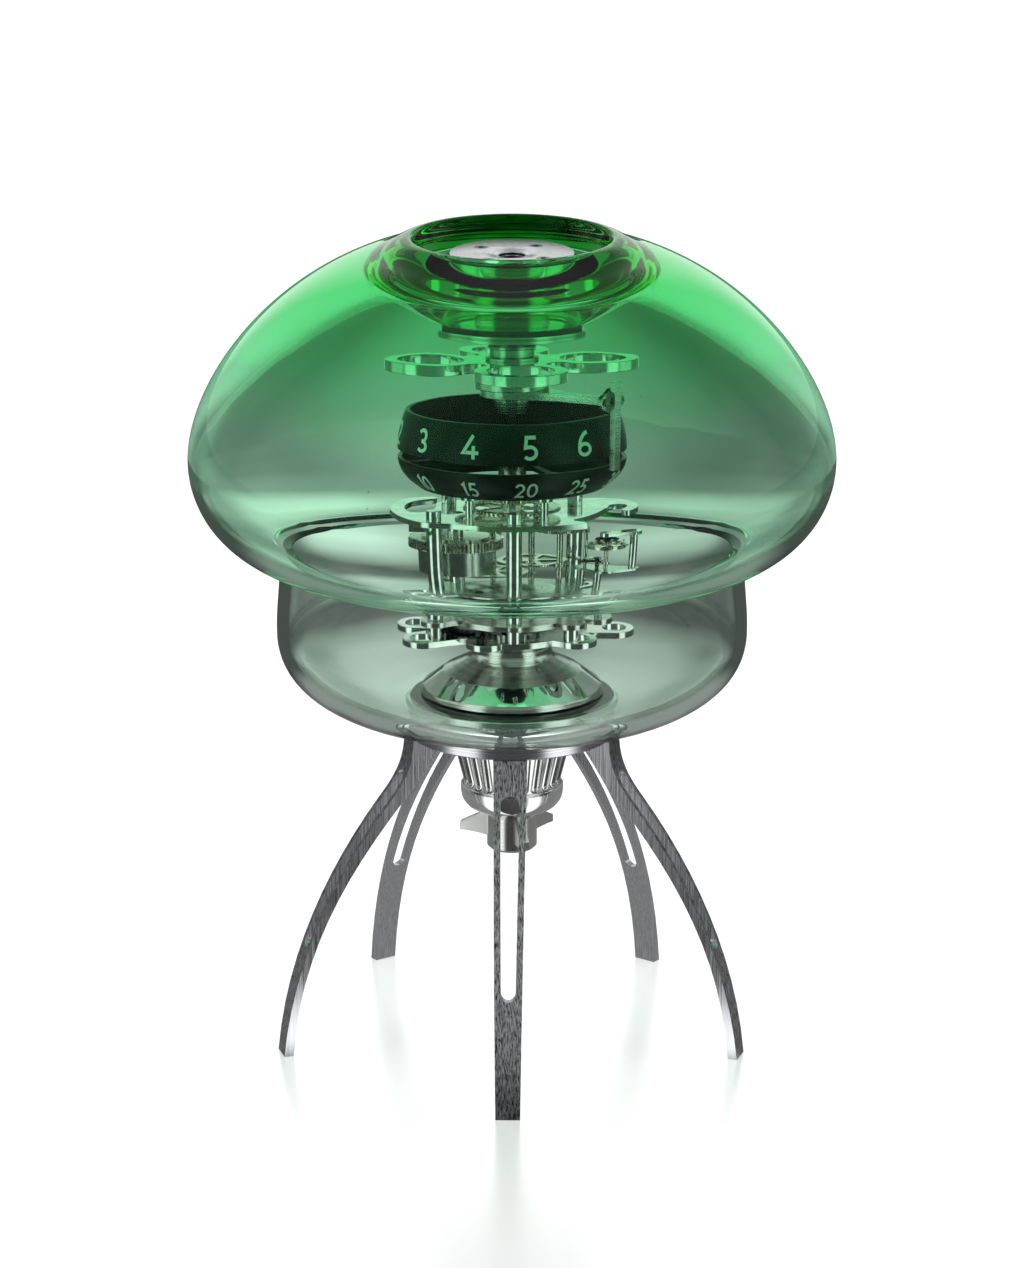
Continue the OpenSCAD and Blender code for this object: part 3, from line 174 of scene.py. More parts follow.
def turnedMetal(name, look, axis=(0.0, 0.0)):
    # metal cut on a lathe: fine rings round the axis, catching the light as two opposite fans
    material, tree = newMaterial(name)
    where = put(tree, "ShaderNodeTexCoord")
    local = put(tree, "ShaderNodeMapping", {"Vector": where.outputs["Object"],
                                            "Location": (-axis[0] * mm, -axis[1] * mm, 0)})
    flat = put(tree, "ShaderNodeVectorMath", {0: local.outputs[0], 1: (1, 1, 0)}, operation="MULTIPLY")
    radius = put(tree, "ShaderNodeVectorMath", {0: flat.outputs[0]}, operation="LENGTH")
    parts = put(tree, "ShaderNodeSeparateXYZ", {"Vector": local.outputs[0]})
    profile = put(tree, "ShaderNodeCombineXYZ", {"X": radius.outputs["Value"], "Y": parts.outputs["Z"]})
    rings = put(tree, "ShaderNodeTexNoise", {"Vector": profile.outputs[0], "Scale": 1 / (look["pitch"] * mm),
                                             "Detail": 2.0}, noise_dimensions="2D")
    smudge = put(tree, "ShaderNodeTexNoise", {"Vector": where.outputs["Object"],
                                              "Scale": 1 / (look["smudge"] * mm), "Detail": 3.0})
    both = put(tree, "ShaderNodeMath", {0: rings.outputs["Fac"], 1: look["ringShare"],
                                        2: smudge.outputs["Fac"]}, operation="MULTIPLY_ADD")
    colour = put(tree, "ShaderNodeValToRGB", {"Fac": rings.outputs["Fac"]},
                 stops=[(0.3, look["dark"]), (0.7, look["pale"])])
    rough = put(tree, "ShaderNodeMapRange", {
        "Value": both.outputs[0], "From Min": 0.3, "From Max": 0.7 + look["ringShare"],
        "To Min": look["rough"][0], "To Max": look["rough"][1]})
    bump = put(tree, "ShaderNodeBump", {"Height": rings.outputs["Fac"], "Strength": look["depth"],
                                        "Distance": look["pitch"] * mm})
    metal = put(tree, "ShaderNodeBsdfPrincipled", {
        "Base Color": colour.outputs[0], "Metallic": 1.0, "Roughness": rough.outputs[0],
        "Normal": bump.outputs[0], "Anisotropic": look["fan"]})
    finishMaterial(tree, metal.outputs[0])
    return material


def polishedMetal(name, look):
    # polished metal: nearly a mirror, with faint wiping marks
    material, tree = newMaterial(name)
    where = put(tree, "ShaderNodeTexCoord")
    marks = put(tree, "ShaderNodeTexNoise", {"Vector": where.outputs["Object"],
                                             "Scale": 1 / (look["marks"] * mm), "Detail": 4.0})
    colour = put(tree, "ShaderNodeValToRGB", {"Fac": marks.outputs["Fac"]},
                 stops=[(0.35, look["dark"]), (0.65, look["pale"])])
    rough = put(tree, "ShaderNodeMapRange", {
        "Value": marks.outputs["Fac"], "From Min": 0.35, "From Max": 0.65,
        "To Min": look["rough"][0], "To Max": look["rough"][1]})
    fine = put(tree, "ShaderNodeTexNoise", {"Vector": where.outputs["Object"],
                                            "Scale": 1 / (look["ripple"] * mm), "Detail": 2.0})
    bump = put(tree, "ShaderNodeBump", {"Height": fine.outputs["Fac"], "Strength": look["depth"],
                                        "Distance": look["ripple"] * mm * 0.1})
    metal = put(tree, "ShaderNodeBsdfPrincipled", {
        "Base Color": colour.outputs[0], "Metallic": 1.0, "Roughness": rough.outputs[0],
        "Normal": bump.outputs[0]})
    finishMaterial(tree, metal.outputs[0])
    return material


legLook = {"dark": "#141516", "pale": "#a9abad", "sideDark": "#b9bbbd", "sidePale": "#d8dadc",
           "rough": (0.20, 0.38), "grit": 0.42, "streak": 2.6,
           "sideGrit": 0.5, "sideStreak": 30.0, "faceDepth": 0.9, "sideDepth": 0.12}
plateLook = {"dark": "#b4b6b8", "pale": "#dcdee0", "rough": (0.13, 0.24), "pitch": 0.5, "smudge": 18.0,
             "ringShare": 0.6, "depth": 0.10, "fan": 0.5}
satinLook = {"dark": "#a9aba8", "pale": "#d6d8d4", "rough": (0.12, 0.22), "pitch": 0.35, "smudge": 14.0,
             "ringShare": 0.6, "depth": 0.10, "fan": 0.45}
polishedLook = {"dark": "#c6c8c6", "pale": "#e2e4e2", "rough": (0.05, 0.14), "marks": 9.0, "ripple": 1.2,
                "depth": 0.03}
wheelLook = {"dark": "#b9b9ae", "pale": "#dddcd0", "rough": (0.14, 0.28), "marks": 3.0, "ripple": 0.5,
             "depth": 0.08}
darkSteelLook = {"dark": "#4b4e4d", "pale": "#8a8d8b", "rough": (0.16, 0.30), "marks": 4.0, "ripple": 0.6,
                 "depth": 0.08}
mirrorLook = {"dark": "#cfd2cf", "pale": "#e6e8e6", "rough": (0.02, 0.06), "marks": 12.0, "ripple": 2.0,
              "depth": 0.02}

turnedPlate = turnedMetal("turnedStainlessPlate", plateLook)
satinSteel = turnedMetal("satinTurnedSteel", satinLook)
polishedSteel = polishedMetal("polishedSteel", polishedLook)
wheelNickel = polishedMetal("nickelPlatedBrass", wheelLook)
darkSteel = polishedMetal("darkHardenedSteel", darkSteelLook)
mirrorSteel = polishedMetal("mirrorPolishedSteel", mirrorLook)
print("metals: made")


# Rubber

rubberLook = {"dark": "#0a0b0b", "pale": "#191b1b", "rough": 0.55, "grain": 0.6}
rubber, tree = newMaterial("mouldedBlackRubber")  # matt, with a fine moulded grain
where = put(tree, "ShaderNodeTexCoord")
grain = put(tree, "ShaderNodeTexNoise", {"Vector": where.outputs["Object"],
                                         "Scale": 1 / (rubberLook["grain"] * mm), "Detail": 3.0})
colour = put(tree, "ShaderNodeValToRGB", {"Fac": grain.outputs["Fac"]},
             stops=[(0.3, rubberLook["dark"]), (0.7, rubberLook["pale"])])
bump = put(tree, "ShaderNodeBump", {"Height": grain.outputs["Fac"], "Strength": 0.2,
                                    "Distance": rubberLook["grain"] * mm * 0.3})
skin = put(tree, "ShaderNodeBsdfPrincipled", {"Base Color": colour.outputs[0], "Normal": bump.outputs[0],
                                              "Roughness": rubberLook["rough"]})
finishMaterial(tree, skin.outputs[0])


# Number rings

ringLook = {"dark": "#04100b", "pale": "#0b1d15", "rough": (0.30, 0.42), "grit": 0.35}
ringFinish, tree = newMaterial("anodisedDarkAluminium")  # a satin skin over fine turning lines
where = put(tree, "ShaderNodeTexCoord")
lines = put(tree, "ShaderNodeMapping", {
    "Vector": where.outputs["Object"],
    "Scale": (1 / (40 * mm), 1 / (40 * mm), 1 / (ringLook["grit"] * mm))})
grain = put(tree, "ShaderNodeTexNoise", {"Vector": lines.outputs[0], "Scale": 1.0, "Detail": 3.0})
colour = put(tree, "ShaderNodeValToRGB", {"Fac": grain.outputs["Fac"]},
             stops=[(0.3, ringLook["dark"]), (0.7, ringLook["pale"])])
rough = put(tree, "ShaderNodeMapRange", {"Value": grain.outputs["Fac"], "From Min": 0.3, "From Max": 0.7,
                                         "To Min": ringLook["rough"][0], "To Max": ringLook["rough"][1]})
bump = put(tree, "ShaderNodeBump", {"Height": grain.outputs["Fac"], "Strength": 0.08,
                                    "Distance": ringLook["grit"] * mm})
skin = put(tree, "ShaderNodeBsdfPrincipled", {
    "Base Color": colour.outputs[0], "Roughness": rough.outputs[0], "Normal": bump.outputs[0],
    "Metallic": 0.1, "Specular IOR Level": 0.2})
finishMaterial(tree, skin.outputs[0])

paintLook = {"dark": "#e4ece5", "pale": "#fafcf8", "grain": 0.4}
numeralPaint, tree = newMaterial("whiteNumeralEnamel")  # thick pale enamel, slightly uneven
where = put(tree, "ShaderNodeTexCoord")
grain = put(tree, "ShaderNodeTexNoise", {"Vector": where.outputs["Object"],
                                         "Scale": 1 / (paintLook["grain"] * mm), "Detail": 2.0})
colour = put(tree, "ShaderNodeValToRGB", {"Fac": grain.outputs["Fac"]},
             stops=[(0.3, paintLook["dark"]), (0.7, paintLook["pale"])])
bump = put(tree, "ShaderNodeBump", {"Height": grain.outputs["Fac"], "Strength": 0.1,
                                    "Distance": paintLook["grain"] * mm * 0.2})
skin = put(tree, "ShaderNodeBsdfPrincipled", {"Base Color": colour.outputs[0], "Normal": bump.outputs[0],
                                              "Roughness": 0.4})
finishMaterial(tree, skin.outputs[0])


# Glass

def tintedGlass(name, look):
    # mouth-blown soda glass, coloured right through, so that it is deepest where it is thick;
    # the tints add to that by height
    material, tree = newMaterial(name)
    where = put(tree, "ShaderNodeTexCoord")
    parts = put(tree, "ShaderNodeSeparateXYZ", {"Vector": where.outputs["Object"]})
    height = put(tree, "ShaderNodeMapRange", {
        "Value": parts.outputs["Z"], "From Min": look["low"] * mm, "From Max": look["high"] * mm})
    tint = put(tree, "ShaderNodeValToRGB", {"Fac": height.outputs[0]}, stops=look["tints"])
    cells = put(tree, "ShaderNodeTexVoronoi", {"Vector": where.outputs["Object"],
                                               "Scale": 1 / (look["seedSpacing"] * mm)})
    seed = put(tree, "ShaderNodeMath", {0: cells.outputs["Distance"], 1: look["seed"] / look["seedSpacing"]},
               operation="LESS_THAN")
    chance = put(tree, "ShaderNodeSeparateXYZ", {"Vector": cells.outputs["Color"]})
    chosen = put(tree, "ShaderNodeMath", {0: chance.outputs["X"], 1: look["seedShare"]},
                 operation="LESS_THAN")
    speck = put(tree, "ShaderNodeMath", {0: seed.outputs[0], 1: chosen.outputs[0]}, operation="MULTIPLY")
    colour = put(tree, "ShaderNodeMixRGB", {"Fac": speck.outputs[0], "Color1": tint.outputs[0],
                                            "Color2": toLinear(look["seedColour"])})
    wave = put(tree, "ShaderNodeTexNoise", {"Vector": where.outputs["Object"],
                                            "Scale": 1 / (look["wave"] * mm), "Detail": 1.0})
    bump = put(tree, "ShaderNodeBump", {"Height": wave.outputs["Fac"], "Strength": look["depth"],
                                        "Distance": look["wave"] * mm * 0.02})
    glass = put(tree, "ShaderNodeBsdfPrincipled", {
        "Base Color": colour.outputs[0], "Roughness": 0.0, "IOR": 1.5, "Transmission Weight": 1.0,
        "Specular Tint": grey(look["shine"]), "Normal": bump.outputs[0]})
    depth = put(tree, "ShaderNodeVolumeAbsorption", {"Color": toLinear(look["body"]),
                                                     "Density": look["density"]})
    half = put(tree, "ShaderNodeGamma", {"Color": tint.outputs[0], "Gamma": 0.5})  # a wall has two faces
    clear = put(tree, "ShaderNodeBsdfTransparent", {"Color": half.outputs[0]})
    ray = put(tree, "ShaderNodeLightPath")
    both = put(tree, "ShaderNodeMixShader", {0: ray.outputs["Is Shadow Ray"], 1: glass.outputs[0],
                                             2: clear.outputs[0]})
    # where the two glasses are cemented on each other, light goes straight on
    joint = put(tree, "ShaderNodeMath", {0: parts.outputs["Z"], 1: look["joint"] * mm,
                                         2: look["jointReach"] * mm}, operation="COMPARE")
    through = put(tree, "ShaderNodeBsdfTransparent", {"Color": grey(1.0)})
    bonded = put(tree, "ShaderNodeMixShader", {0: joint.outputs[0], 1: both.outputs[0],
                                               2: through.outputs[0]})
    finishMaterial(tree, bonded.outputs[0], depth.outputs[0])
    return material


domeGlass = tintedGlass("greenBlownGlass", {
    "low": 199.5, "high": 321.8, "wave": 30.0, "depth": 0.15, "shine": 0.08,
    "seed": 0.32, "seedSpacing": 13.0, "seedShare": 0.22, "seedColour": "#0d2416",
    "body": "#98fac9", "density": 50.0, "joint": 199.5, "jointReach": 0.12,
    "tints": [(0.0, "#f2fbf5"), (0.5, "#eafaf0"), (0.68, "#c8f2d8"), (1.0, "#8adfa8")]})
bellGlass = tintedGlass("paleBlownGlass", {
    "low": 135.5, "high": 199.5, "wave": 30.0, "depth": 0.15, "shine": 0.08,
    "seed": 0.32, "seedSpacing": 13.0, "seedShare": 0.12, "seedColour": "#26302a",
    "body": "#98fac9", "density": 24.0, "joint": 199.5, "jointReach": 0.12,
    "tints": [(0.0, "#f6faf7"), (1.0, "#f2faf5")]})

glassSpin = {"steps": 256, "profileSteps": 28}
bellShape = {"radius": 91.2, "height": 64, "seam": 0.08, "wall": 4.5, "low": 135.5, "hole": 12,
             "edgeShare": 0.984,
             "lower": [(0.49, 0), (0.68, 0.003), (1.009, 0.11), (1, 0.5)],
             "upper": [(1, 0.5), (1.002, 0.64), (0.984, 0.74), (0.984, 1)]}
domeShape = {"radius": 124.4, "low": 199.5, "crest": 321.8, "belly": 0.296, "lowWall": 4.6, "topWall": 17,
             "thinTo": 0.15, "thickFrom": 1.05, "neckRadius": 26.5, "neckRound": 4, "hole": 20,
             "wellZ": 311.3, "neckZ": 291.3,
             "over": [(1, 0.296), (1, 0.505), (0.780, 0.838), (0.418, 0.955)],
             "crestCurve": [(0.418, 0.955), (0.372, 0.973), (0.338, 1), (0.318, 1)],
             "lip": [(0.318, 1), (0.303, 1), (0.300, 0.975), (0.288, 0.951)]}


def scaled(shares, radius, low, height):
    return [(q[0] * radius, low + q[1] * height) for q in shares]


def inset(path, walls):
    # the path moved to its left by the wall at each point
    made = []
    for i, point in enumerate(path):
        step = path[min(i + 1, len(path) - 1)] - path[max(i - 1, 0)]
        step.normalize()
        made.append(point + walls[i] * Vector((-step.y, step.x)))
    return made


def spunPiece(name, profile, steps, material, node):
    # a closed profile turned a full circle round the clock's axis
    shape = bmesh.new()
    corners = [shape.verts.new((q[0] * mm, 0, q[1] * mm)) for q in profile]
    edges = [shape.edges.new((corners[i - 1], corners[i])) for i in range(len(corners))]
    bmesh.ops.spin(shape, geom=corners + edges, cent=(0, 0, 0), axis=(0, 0, 1), dvec=(0, 0, 0),
                   angle=2 * math.pi, steps=steps, use_merge=True, use_normal_flip=False,
                   use_duplicate=False)
    bmesh.ops.remove_doubles(shape, verts=shape.verts, dist=1e-7)
    bmesh.ops.recalc_face_normals(shape, faces=shape.faces)
    markSharp(shape, 35)
    return pieceFrom(name, shape, material, "root", [node])


def bellProfile(shape, steps):
    low = shape["low"]
    outer = bezier(scaled(shape["lower"], shape["radius"], low, shape["height"]), steps)
    outer += bezier(scaled(shape["upper"], shape["radius"], low, shape["height"]), steps)[1:]
    inner = inset(outer, [shape["wall"]] * len(outer))
    top = low + shape["height"] - shape["seam"]
    outer[-1].y = top  # a hair's room between the two glasses, so that no faces coincide
    path = [Vector((shape["hole"], low))] + outer
    path += [Vector((outer[-1].x - shape["wall"], top))] + inner[-2:0:-1]
    return path + [Vector((inner[0].x, low + shape["wall"])), Vector((shape["hole"], low + shape["wall"]))]


def domeProfile(shape, steps):
    low, radius = shape["low"], shape["radius"]
    height = shape["crest"] - low
    edge = bellShape["edgeShare"] * bellShape["radius"]
    bellyHeight = shape["belly"] * height
    outer = []
    for i in range(steps + 1):
        a = math.radians(-90 + i * 90 / steps)
        outer.append(Vector((edge + (radius - edge) * math.cos(a),
                             low + bellyHeight + bellyHeight * math.sin(a))))
    outer += bezier(scaled(shape["over"], radius, low, height), steps * 2)[1:]
    walls = []
    for point in outer:
        s = (point.y - low) / height
        u = min(max((s - shape["thinTo"]) / (shape["thickFrom"] - shape["thinTo"]), 0), 1)
        walls.append(shape["lowWall"] + (shape["topWall"] - shape["lowWall"]) * u * u * (3 - 2 * u))
    inner = inset(outer, walls)[1:-3]
    last = inner[-1]
    bend = shape["neckRound"]
    neckR, neckZ = shape["neckRadius"], shape["neckZ"]
    under = bezier([last, (last.x - bend * 2, last.y + bend * 0.6), (neckR + bend * 2, neckZ + bend * 0.6),
                    (neckR, neckZ)], steps)
    wellShare = (shape["wellZ"] - low) / height
    well = [(0.288, 0.951), (0.268, 0.922), (0.262, wellShare), (0.240, wellShare)]
    path = outer
    for part in (shape["crestCurve"], shape["lip"], well):
        path = path + bezier(scaled(part, radius, low, height), steps // 2)[1:]
    path += [Vector((shape["hole"], shape["wellZ"])), Vector((shape["hole"], neckZ))]
    path += under[::-1] + inner[-2::-1]
    return path + [Vector((edge - bellShape["wall"], low))]


bellPath = bellProfile(bellShape, glassSpin["profileSteps"])
domePath = domeProfile(domeShape, glassSpin["profileSteps"])
spunPiece("lowerGlassBell", bellPath, glassSpin["steps"], bellGlass, "bell_glass")
spunPiece("upperGlassDome", domePath, glassSpin["steps"], domeGlass, "dome_glass")
print("glass: spun")


# CAD pieces with eased edges

stand = {"yaw": -1, "firstLeg": -90, "betweenLegs": 72, "easedEdge": 0.35,
         "legs": ["front_leg", "right_leg", "rear_right_leg", "rear_left_leg", "left_leg"]}

# node: (material, width of the eased edge in millimetres)
finishes = {
    "base_plate": (turnedPlate, 0), "fluted_cup": (polishedSteel, 0.12), "clamp_ring": (satinSteel, 0.1),
    "mirror_cone": (mirrorSteel, 0), "neck": (satinSteel, 0.1), "lower_petal_plate": (polishedSteel, 0.25),
    "lower_posts": (polishedSteel, 0), "mid_plate": (satinSteel, 0.2), "pillars": (polishedSteel, 0.2),
    "top_plate": (polishedSteel, 0.25), "pillar_nuts": (polishedSteel, 0.2),
    "motion_bridge": (satinSteel, 0.2), "bridge_posts": (polishedSteel, 0),
    "centre_column": (polishedSteel, 0.1), "column_collar": (satinSteel, 0.2),
    "pointer_arm": (satinSteel, 0.2), "pointer_bracket": (satinSteel, 0.15),
    "pointer_bar": (satinSteel, 0.15), "small_screws": (darkSteel, 0.08), "boss_disc": (satinSteel, 0.25),
    "upper_petal_plate": (polishedSteel, 0.25), "spool": (satinSteel, 0.1), "clamp_disc": (satinSteel, 0.15),
    "top_cap": (turnedPlate, 0.15), "cap_screws": (darkSteel, 0.08),
    "escapement_platform": (satinSteel, 0.15), "balance_cock": (polishedSteel, 0.15),
    "hairspring": (darkSteel, 0), "click": (darkSteel, 0.1), "barrel_block": (satinSteel, 0.15),
    "winding_key": (satinSteel, 0.35), "winding_arbor": (polishedSteel, 0), "ratchet_wheel": (darkSteel, 0),
    "barrel_arbor": (polishedSteel, 0), "barrel_drum": (satinSteel, 0.15), "great_wheel": (wheelNickel, 0),
    "mainspring": (darkSteel, 0), "centre_wheel": (wheelNickel, 0), "third_wheel": (wheelNickel, 0),
    "fourth_wheel": (wheelNickel, 0), "escape_wheel": (polishedSteel, 0), "pallet_fork": (darkSteel, 0.06),
    "balance_wheel": (wheelNickel, 0.1), "minute_pipe": (wheelNickel, 0), "hour_pipe": (wheelNickel, 0),
    "minute_ring": (ringFinish, 0.15), "hour_ring": (ringFinish, 0.15),
    "leg_screws": (darkSteel, 0), "glass_seat": (rubber, 0), "bell_gasket": (rubber, 0.15),
    "neck_gasket": (rubber, 0), "cap_gasket": (rubber, 0.3),
}
for number, leg in enumerate(stand["legs"]):
    degrees = stand["yaw"] + stand["firstLeg"] + number * stand["betweenLegs"]
    steel = brushedMetal("beltGroundSteel" + str(degrees % 360), legLook, math.radians(degrees))
    finishes[leg] = (steel, stand["easedEdge"])


def camelName(node):
    words = node.split("_")
    return words[0] + "".join(w.capitalize() for w in words[1:])


def easedCopy(node, material, width):
    # the node's own shape with its loose triangles joined, and its sharp edges eased where they show
    shape = bmesh.new()
    shape.from_mesh(frame["nodes"][node].data)
    bmesh.ops.remove_doubles(shape, verts=shape.verts, dist=1e-6)
    bmesh.ops.dissolve_limit(shape, angle_limit=math.radians(0.5), use_dissolve_boundaries=False,
                             verts=shape.verts, edges=shape.edges)
    markSharp(shape, 30)
    piece = pieceFrom(camelName(node), shape, material, bodyOf[node], [node])
    if width:
        ease = piece.modifiers.new("easedEdges", "BEVEL")
        ease.width = width * mm
        ease.segments = 2
        ease.limit_method = "ANGLE"
        ease.angle_limit = math.radians(40)
        ease.harden_normals = True
        ease.use_clamp_overlap = True
    return piece


for node, (material, width) in finishes.items():
    easedCopy(node, material, width)
print("pieces:", len(finishes), "finished from the frame")


# Numerals

strokeShare = 0.15  # width of a stroke, as a share of the figure's height


def arc(cx, cy, rx, ry, start, end, steps=22):
    return [(cx + rx * math.cos(math.radians(start + (end - start) * i / steps)),
             cy + ry * math.sin(math.radians(start + (end - start) * i / steps))) for i in range(steps + 1)]


def line(*points):
    made = [points[0]]
    for a, b in zip(points, points[1:]):
        for i in range(1, 9):
            made.append((a[0] + (b[0] - a[0]) * i / 8, a[1] + (b[1] - a[1]) * i / 8))
    return made


# Each figure is a width and its strokes, drawn along their middles in a cell one unit high
figures = {
    "0": (0.66, [arc(0.33, 0.5, 0.265, 0.4375, 0, 360, 44)]),
    "1": (0.30, [line((0.03, 0.78), (0.19, 0.93), (0.19, 0.0))]),
    "2": (0.60, [arc(0.29, 0.685, 0.225, 0.2525, 165, -35)
                 + line((0.4743, 0.5402), (0.06, 0.0625), (0.56, 0.0625))[1:]]),
    "3": (0.56, [arc(0.26, 0.71, 0.19, 0.2275, 150, -97), arc(0.26, 0.2725, 0.225, 0.21, 97, -145)]),
    "4": (0.64, [line((0.40, 0.98), (0.06, 0.27), (0.62, 0.27)), line((0.43, 0.56), (0.43, 0.0))]),
    "5": (0.58, [line((0.50, 0.9375), (0.16, 0.9375), (0.12, 0.53))
                 + arc(0.275, 0.31, 0.225, 0.2475, 118, -140)[1:]]),
    "6": (0.62, [arc(0.31, 0.29, 0.235, 0.2275, 0, 360, 44), arc(0.62, 0.33, 0.545, 0.66, 104, 176)]),
    "7": (0.56, [line((0.04, 0.9375), (0.50, 0.9375), (0.20, 0.0))]),
    "8": (0.58, [arc(0.29, 0.715, 0.18, 0.2225, 0, 360, 44), arc(0.29, 0.2775, 0.225, 0.215, 0, 360, 44)]),
    "9": (0.62, [arc(0.31, 0.71, 0.235, 0.2275, 0, 360, 44), arc(0.0, 0.67, 0.545, 0.66, -76, -4)]),
}


def ringRadius(ring, z):
    # radius of the ring's outer face at a height
    t = (z - ring["low"]) / (ring["high"] - ring["low"])
    s = 1 - t
    a, d, widest = ring["lowRadius"], ring["highRadius"], ring["widest"]
    b = a + (widest - a) * ring["bulge"]
    c = d + (widest - d) * ring["bulge"]
    return s ** 3 * a + 3 * t * s * s * b + 3 * t * t * s * c + t ** 3 * d


def addFigure(shape, digit, left, ring):
    # one figure as raised strokes, still flat: X across, Y up, Z out of the ring
    size = ring["figure"]
    wide = size * ring["stretch"]
    for points in figures[digit][1]:
        closed = (Vector(points[0]) - Vector(points[-1])).length < 1e-6
        if closed:
            points = points[:-1]
        middle = [shape.verts.new((left + x * wide, y * size, 0)) for x, y in points]
        for i in range(0 if closed else 1, len(middle)):
            shape.edges.new((middle[i - 1], middle[i]))


def numeralPiece(name, ring, labels):
    made = bmesh.new()
    for label, degrees in labels:
        flat = bmesh.new()
        wide = sum(figures[d][0] for d in label) + ring["spacing"] * (len(label) - 1)
        left = -wide / 2
        for digit in label:
            addFigure(flat, digit, left * ring["figure"] * ring["stretch"], ring)
            left += figures[digit][0] + ring["spacing"]
        walls = bmesh.ops.extrude_edge_only(flat, edges=flat.edges)
        lifted = [v for v in walls["geom"] if isinstance(v, bmesh.types.BMVert)]
        bmesh.ops.translate(flat, verts=lifted, vec=(0, 0, ring["raise"] + ring["sink"]))
        mesh = bpy.data.meshes.new("strokes")
        flat.to_mesh(mesh)
        flat.free()
        stroke = bpy.data.objects.new("strokes", mesh)
        scene.collection.objects.link(stroke)
        thick = stroke.modifiers.new("width", "SOLIDIFY")
        thick.thickness = strokeShare * ring["figure"]
        thick.offset = 0
        thick.use_even_offset = True
        bpy.context.view_layer.update()
        solid = stroke.evaluated_get(bpy.context.evaluated_depsgraph_get()).to_mesh()
        first = len(made.verts)
        made.from_mesh(solid)
        made.verts.ensure_lookup_table()
        for vertex in made.verts[first:]:
            x, y, out = vertex.co
            z = ring["baseline"] + y
            radius = ringRadius(ring, z) + out - ring["sink"]
            a = math.radians(degrees) + x / ring["widest"]
            vertex.co = (radius * math.sin(a) * mm, -radius * math.cos(a) * mm, z * mm)
        bpy.data.objects.remove(stroke)
    bmesh.ops.recalc_face_normals(made, faces=made.faces)
    markSharp(made, 30)
    return pieceFrom(name, made, numeralPaint, ring["body"])


def ringLabels(ring, values):
    # each value with its angle, counted from the value that stands nearest the front
    return [(str(value), ring["frontAngle"] + (value - ring["front"]) * ring["step"]) for value in values]


hourRing = {"low": 249.2, "high": 263.4, "lowRadius": 43, "highRadius": 39.7, "widest": 43, "bulge": 0.7,
            "figure": 8.5, "baseline": 251.4, "stretch": 1.24, "spacing": 0.10, "raise": 0.14, "sink": 0.2,
            "front": 5, "frontAngle": 9, "step": 30, "body": "hours"}
minuteRing = {"low": 234.2, "high": 245.9, "lowRadius": 35.2, "highRadius": 43, "widest": 43, "bulge": 0.7,
              "figure": 6.3, "baseline": 236.0, "stretch": 1.03, "spacing": 0.12, "raise": 0.14, "sink": 0.2,
              "front": 20, "frontAngle": 7.6, "step": 6, "body": "minutes"}
numeralPiece("hourNumerals", hourRing, ringLabels(hourRing, range(1, 13)))
numeralPiece("minuteNumerals", minuteRing, ringLabels(minuteRing, range(5, 61, 5)))
print("numerals: set on both rings")


# Floor, sky and lights

# The floor's painted light levels go by distance from the clock in metres, the sky's by the sine of its
# height
studio = {
    "floorSize": 12.0, "floorGlow": 0.40, "floorDiffuse": "#a0a0a0", "floorBounce": "#ececec",
    "floorGloss": 0.50, "floorRough": 0.24,
    "pools": 20, "poolEdge": (1.0, -0.9), "reach": 1.6,
    "floorPaintedPoolsAhead": [(0.20, 0.16), (0.38, 0.28), (0.48, 0.32), (0.55, 0.13), (0.62, 0.14), (0.75, 0.40),
                   (0.88, 0.46), (1.10, 0.36), (1.50, 0.46)],
    "floorPaintedPoolsAside": [(0.20, 0.16), (0.30, 0.38), (0.44, 0.58), (0.52, 0.14), (0.61, 0.10), (0.72, 0.70),
                   (0.82, 0.95), (0.92, 0.80), (1.06, 0.34), (1.50, 0.22)],
    "skyAhead": [(0.0, 0.46), (0.06, 0.54), (0.15, 0.70), (0.30, 0.85), (0.60, 0.60)],
    "skyAside": [(0.0, 0.20), (0.06, 0.22), (0.15, 0.28), (0.30, 0.30), (0.60, 0.20)],
    "leftShare": 1.12, "rightShare": 0.72, "shareWidth": 0.16,
    "dark": 0.08, "paintedNearFloorGlow": 0.3, "nearTo": (0.26, 0.40), "nearFront": (-0.85, -0.5),
    "panel": 1.5, "panelFrom": (0.50, 0.64), "panelTo": (0.86, 0.97), "panelFront": (0.3, -0.1),
    "wedge": (0.90, 0.975), "sideSky": 0.34, "lowSky": 1.05, "midSky": 0.35, "midFrom": (0.4, 0.65),
    "topSky": 0.5, "topFrom": (0.7, 0.92), "softSky": 0.5,
}


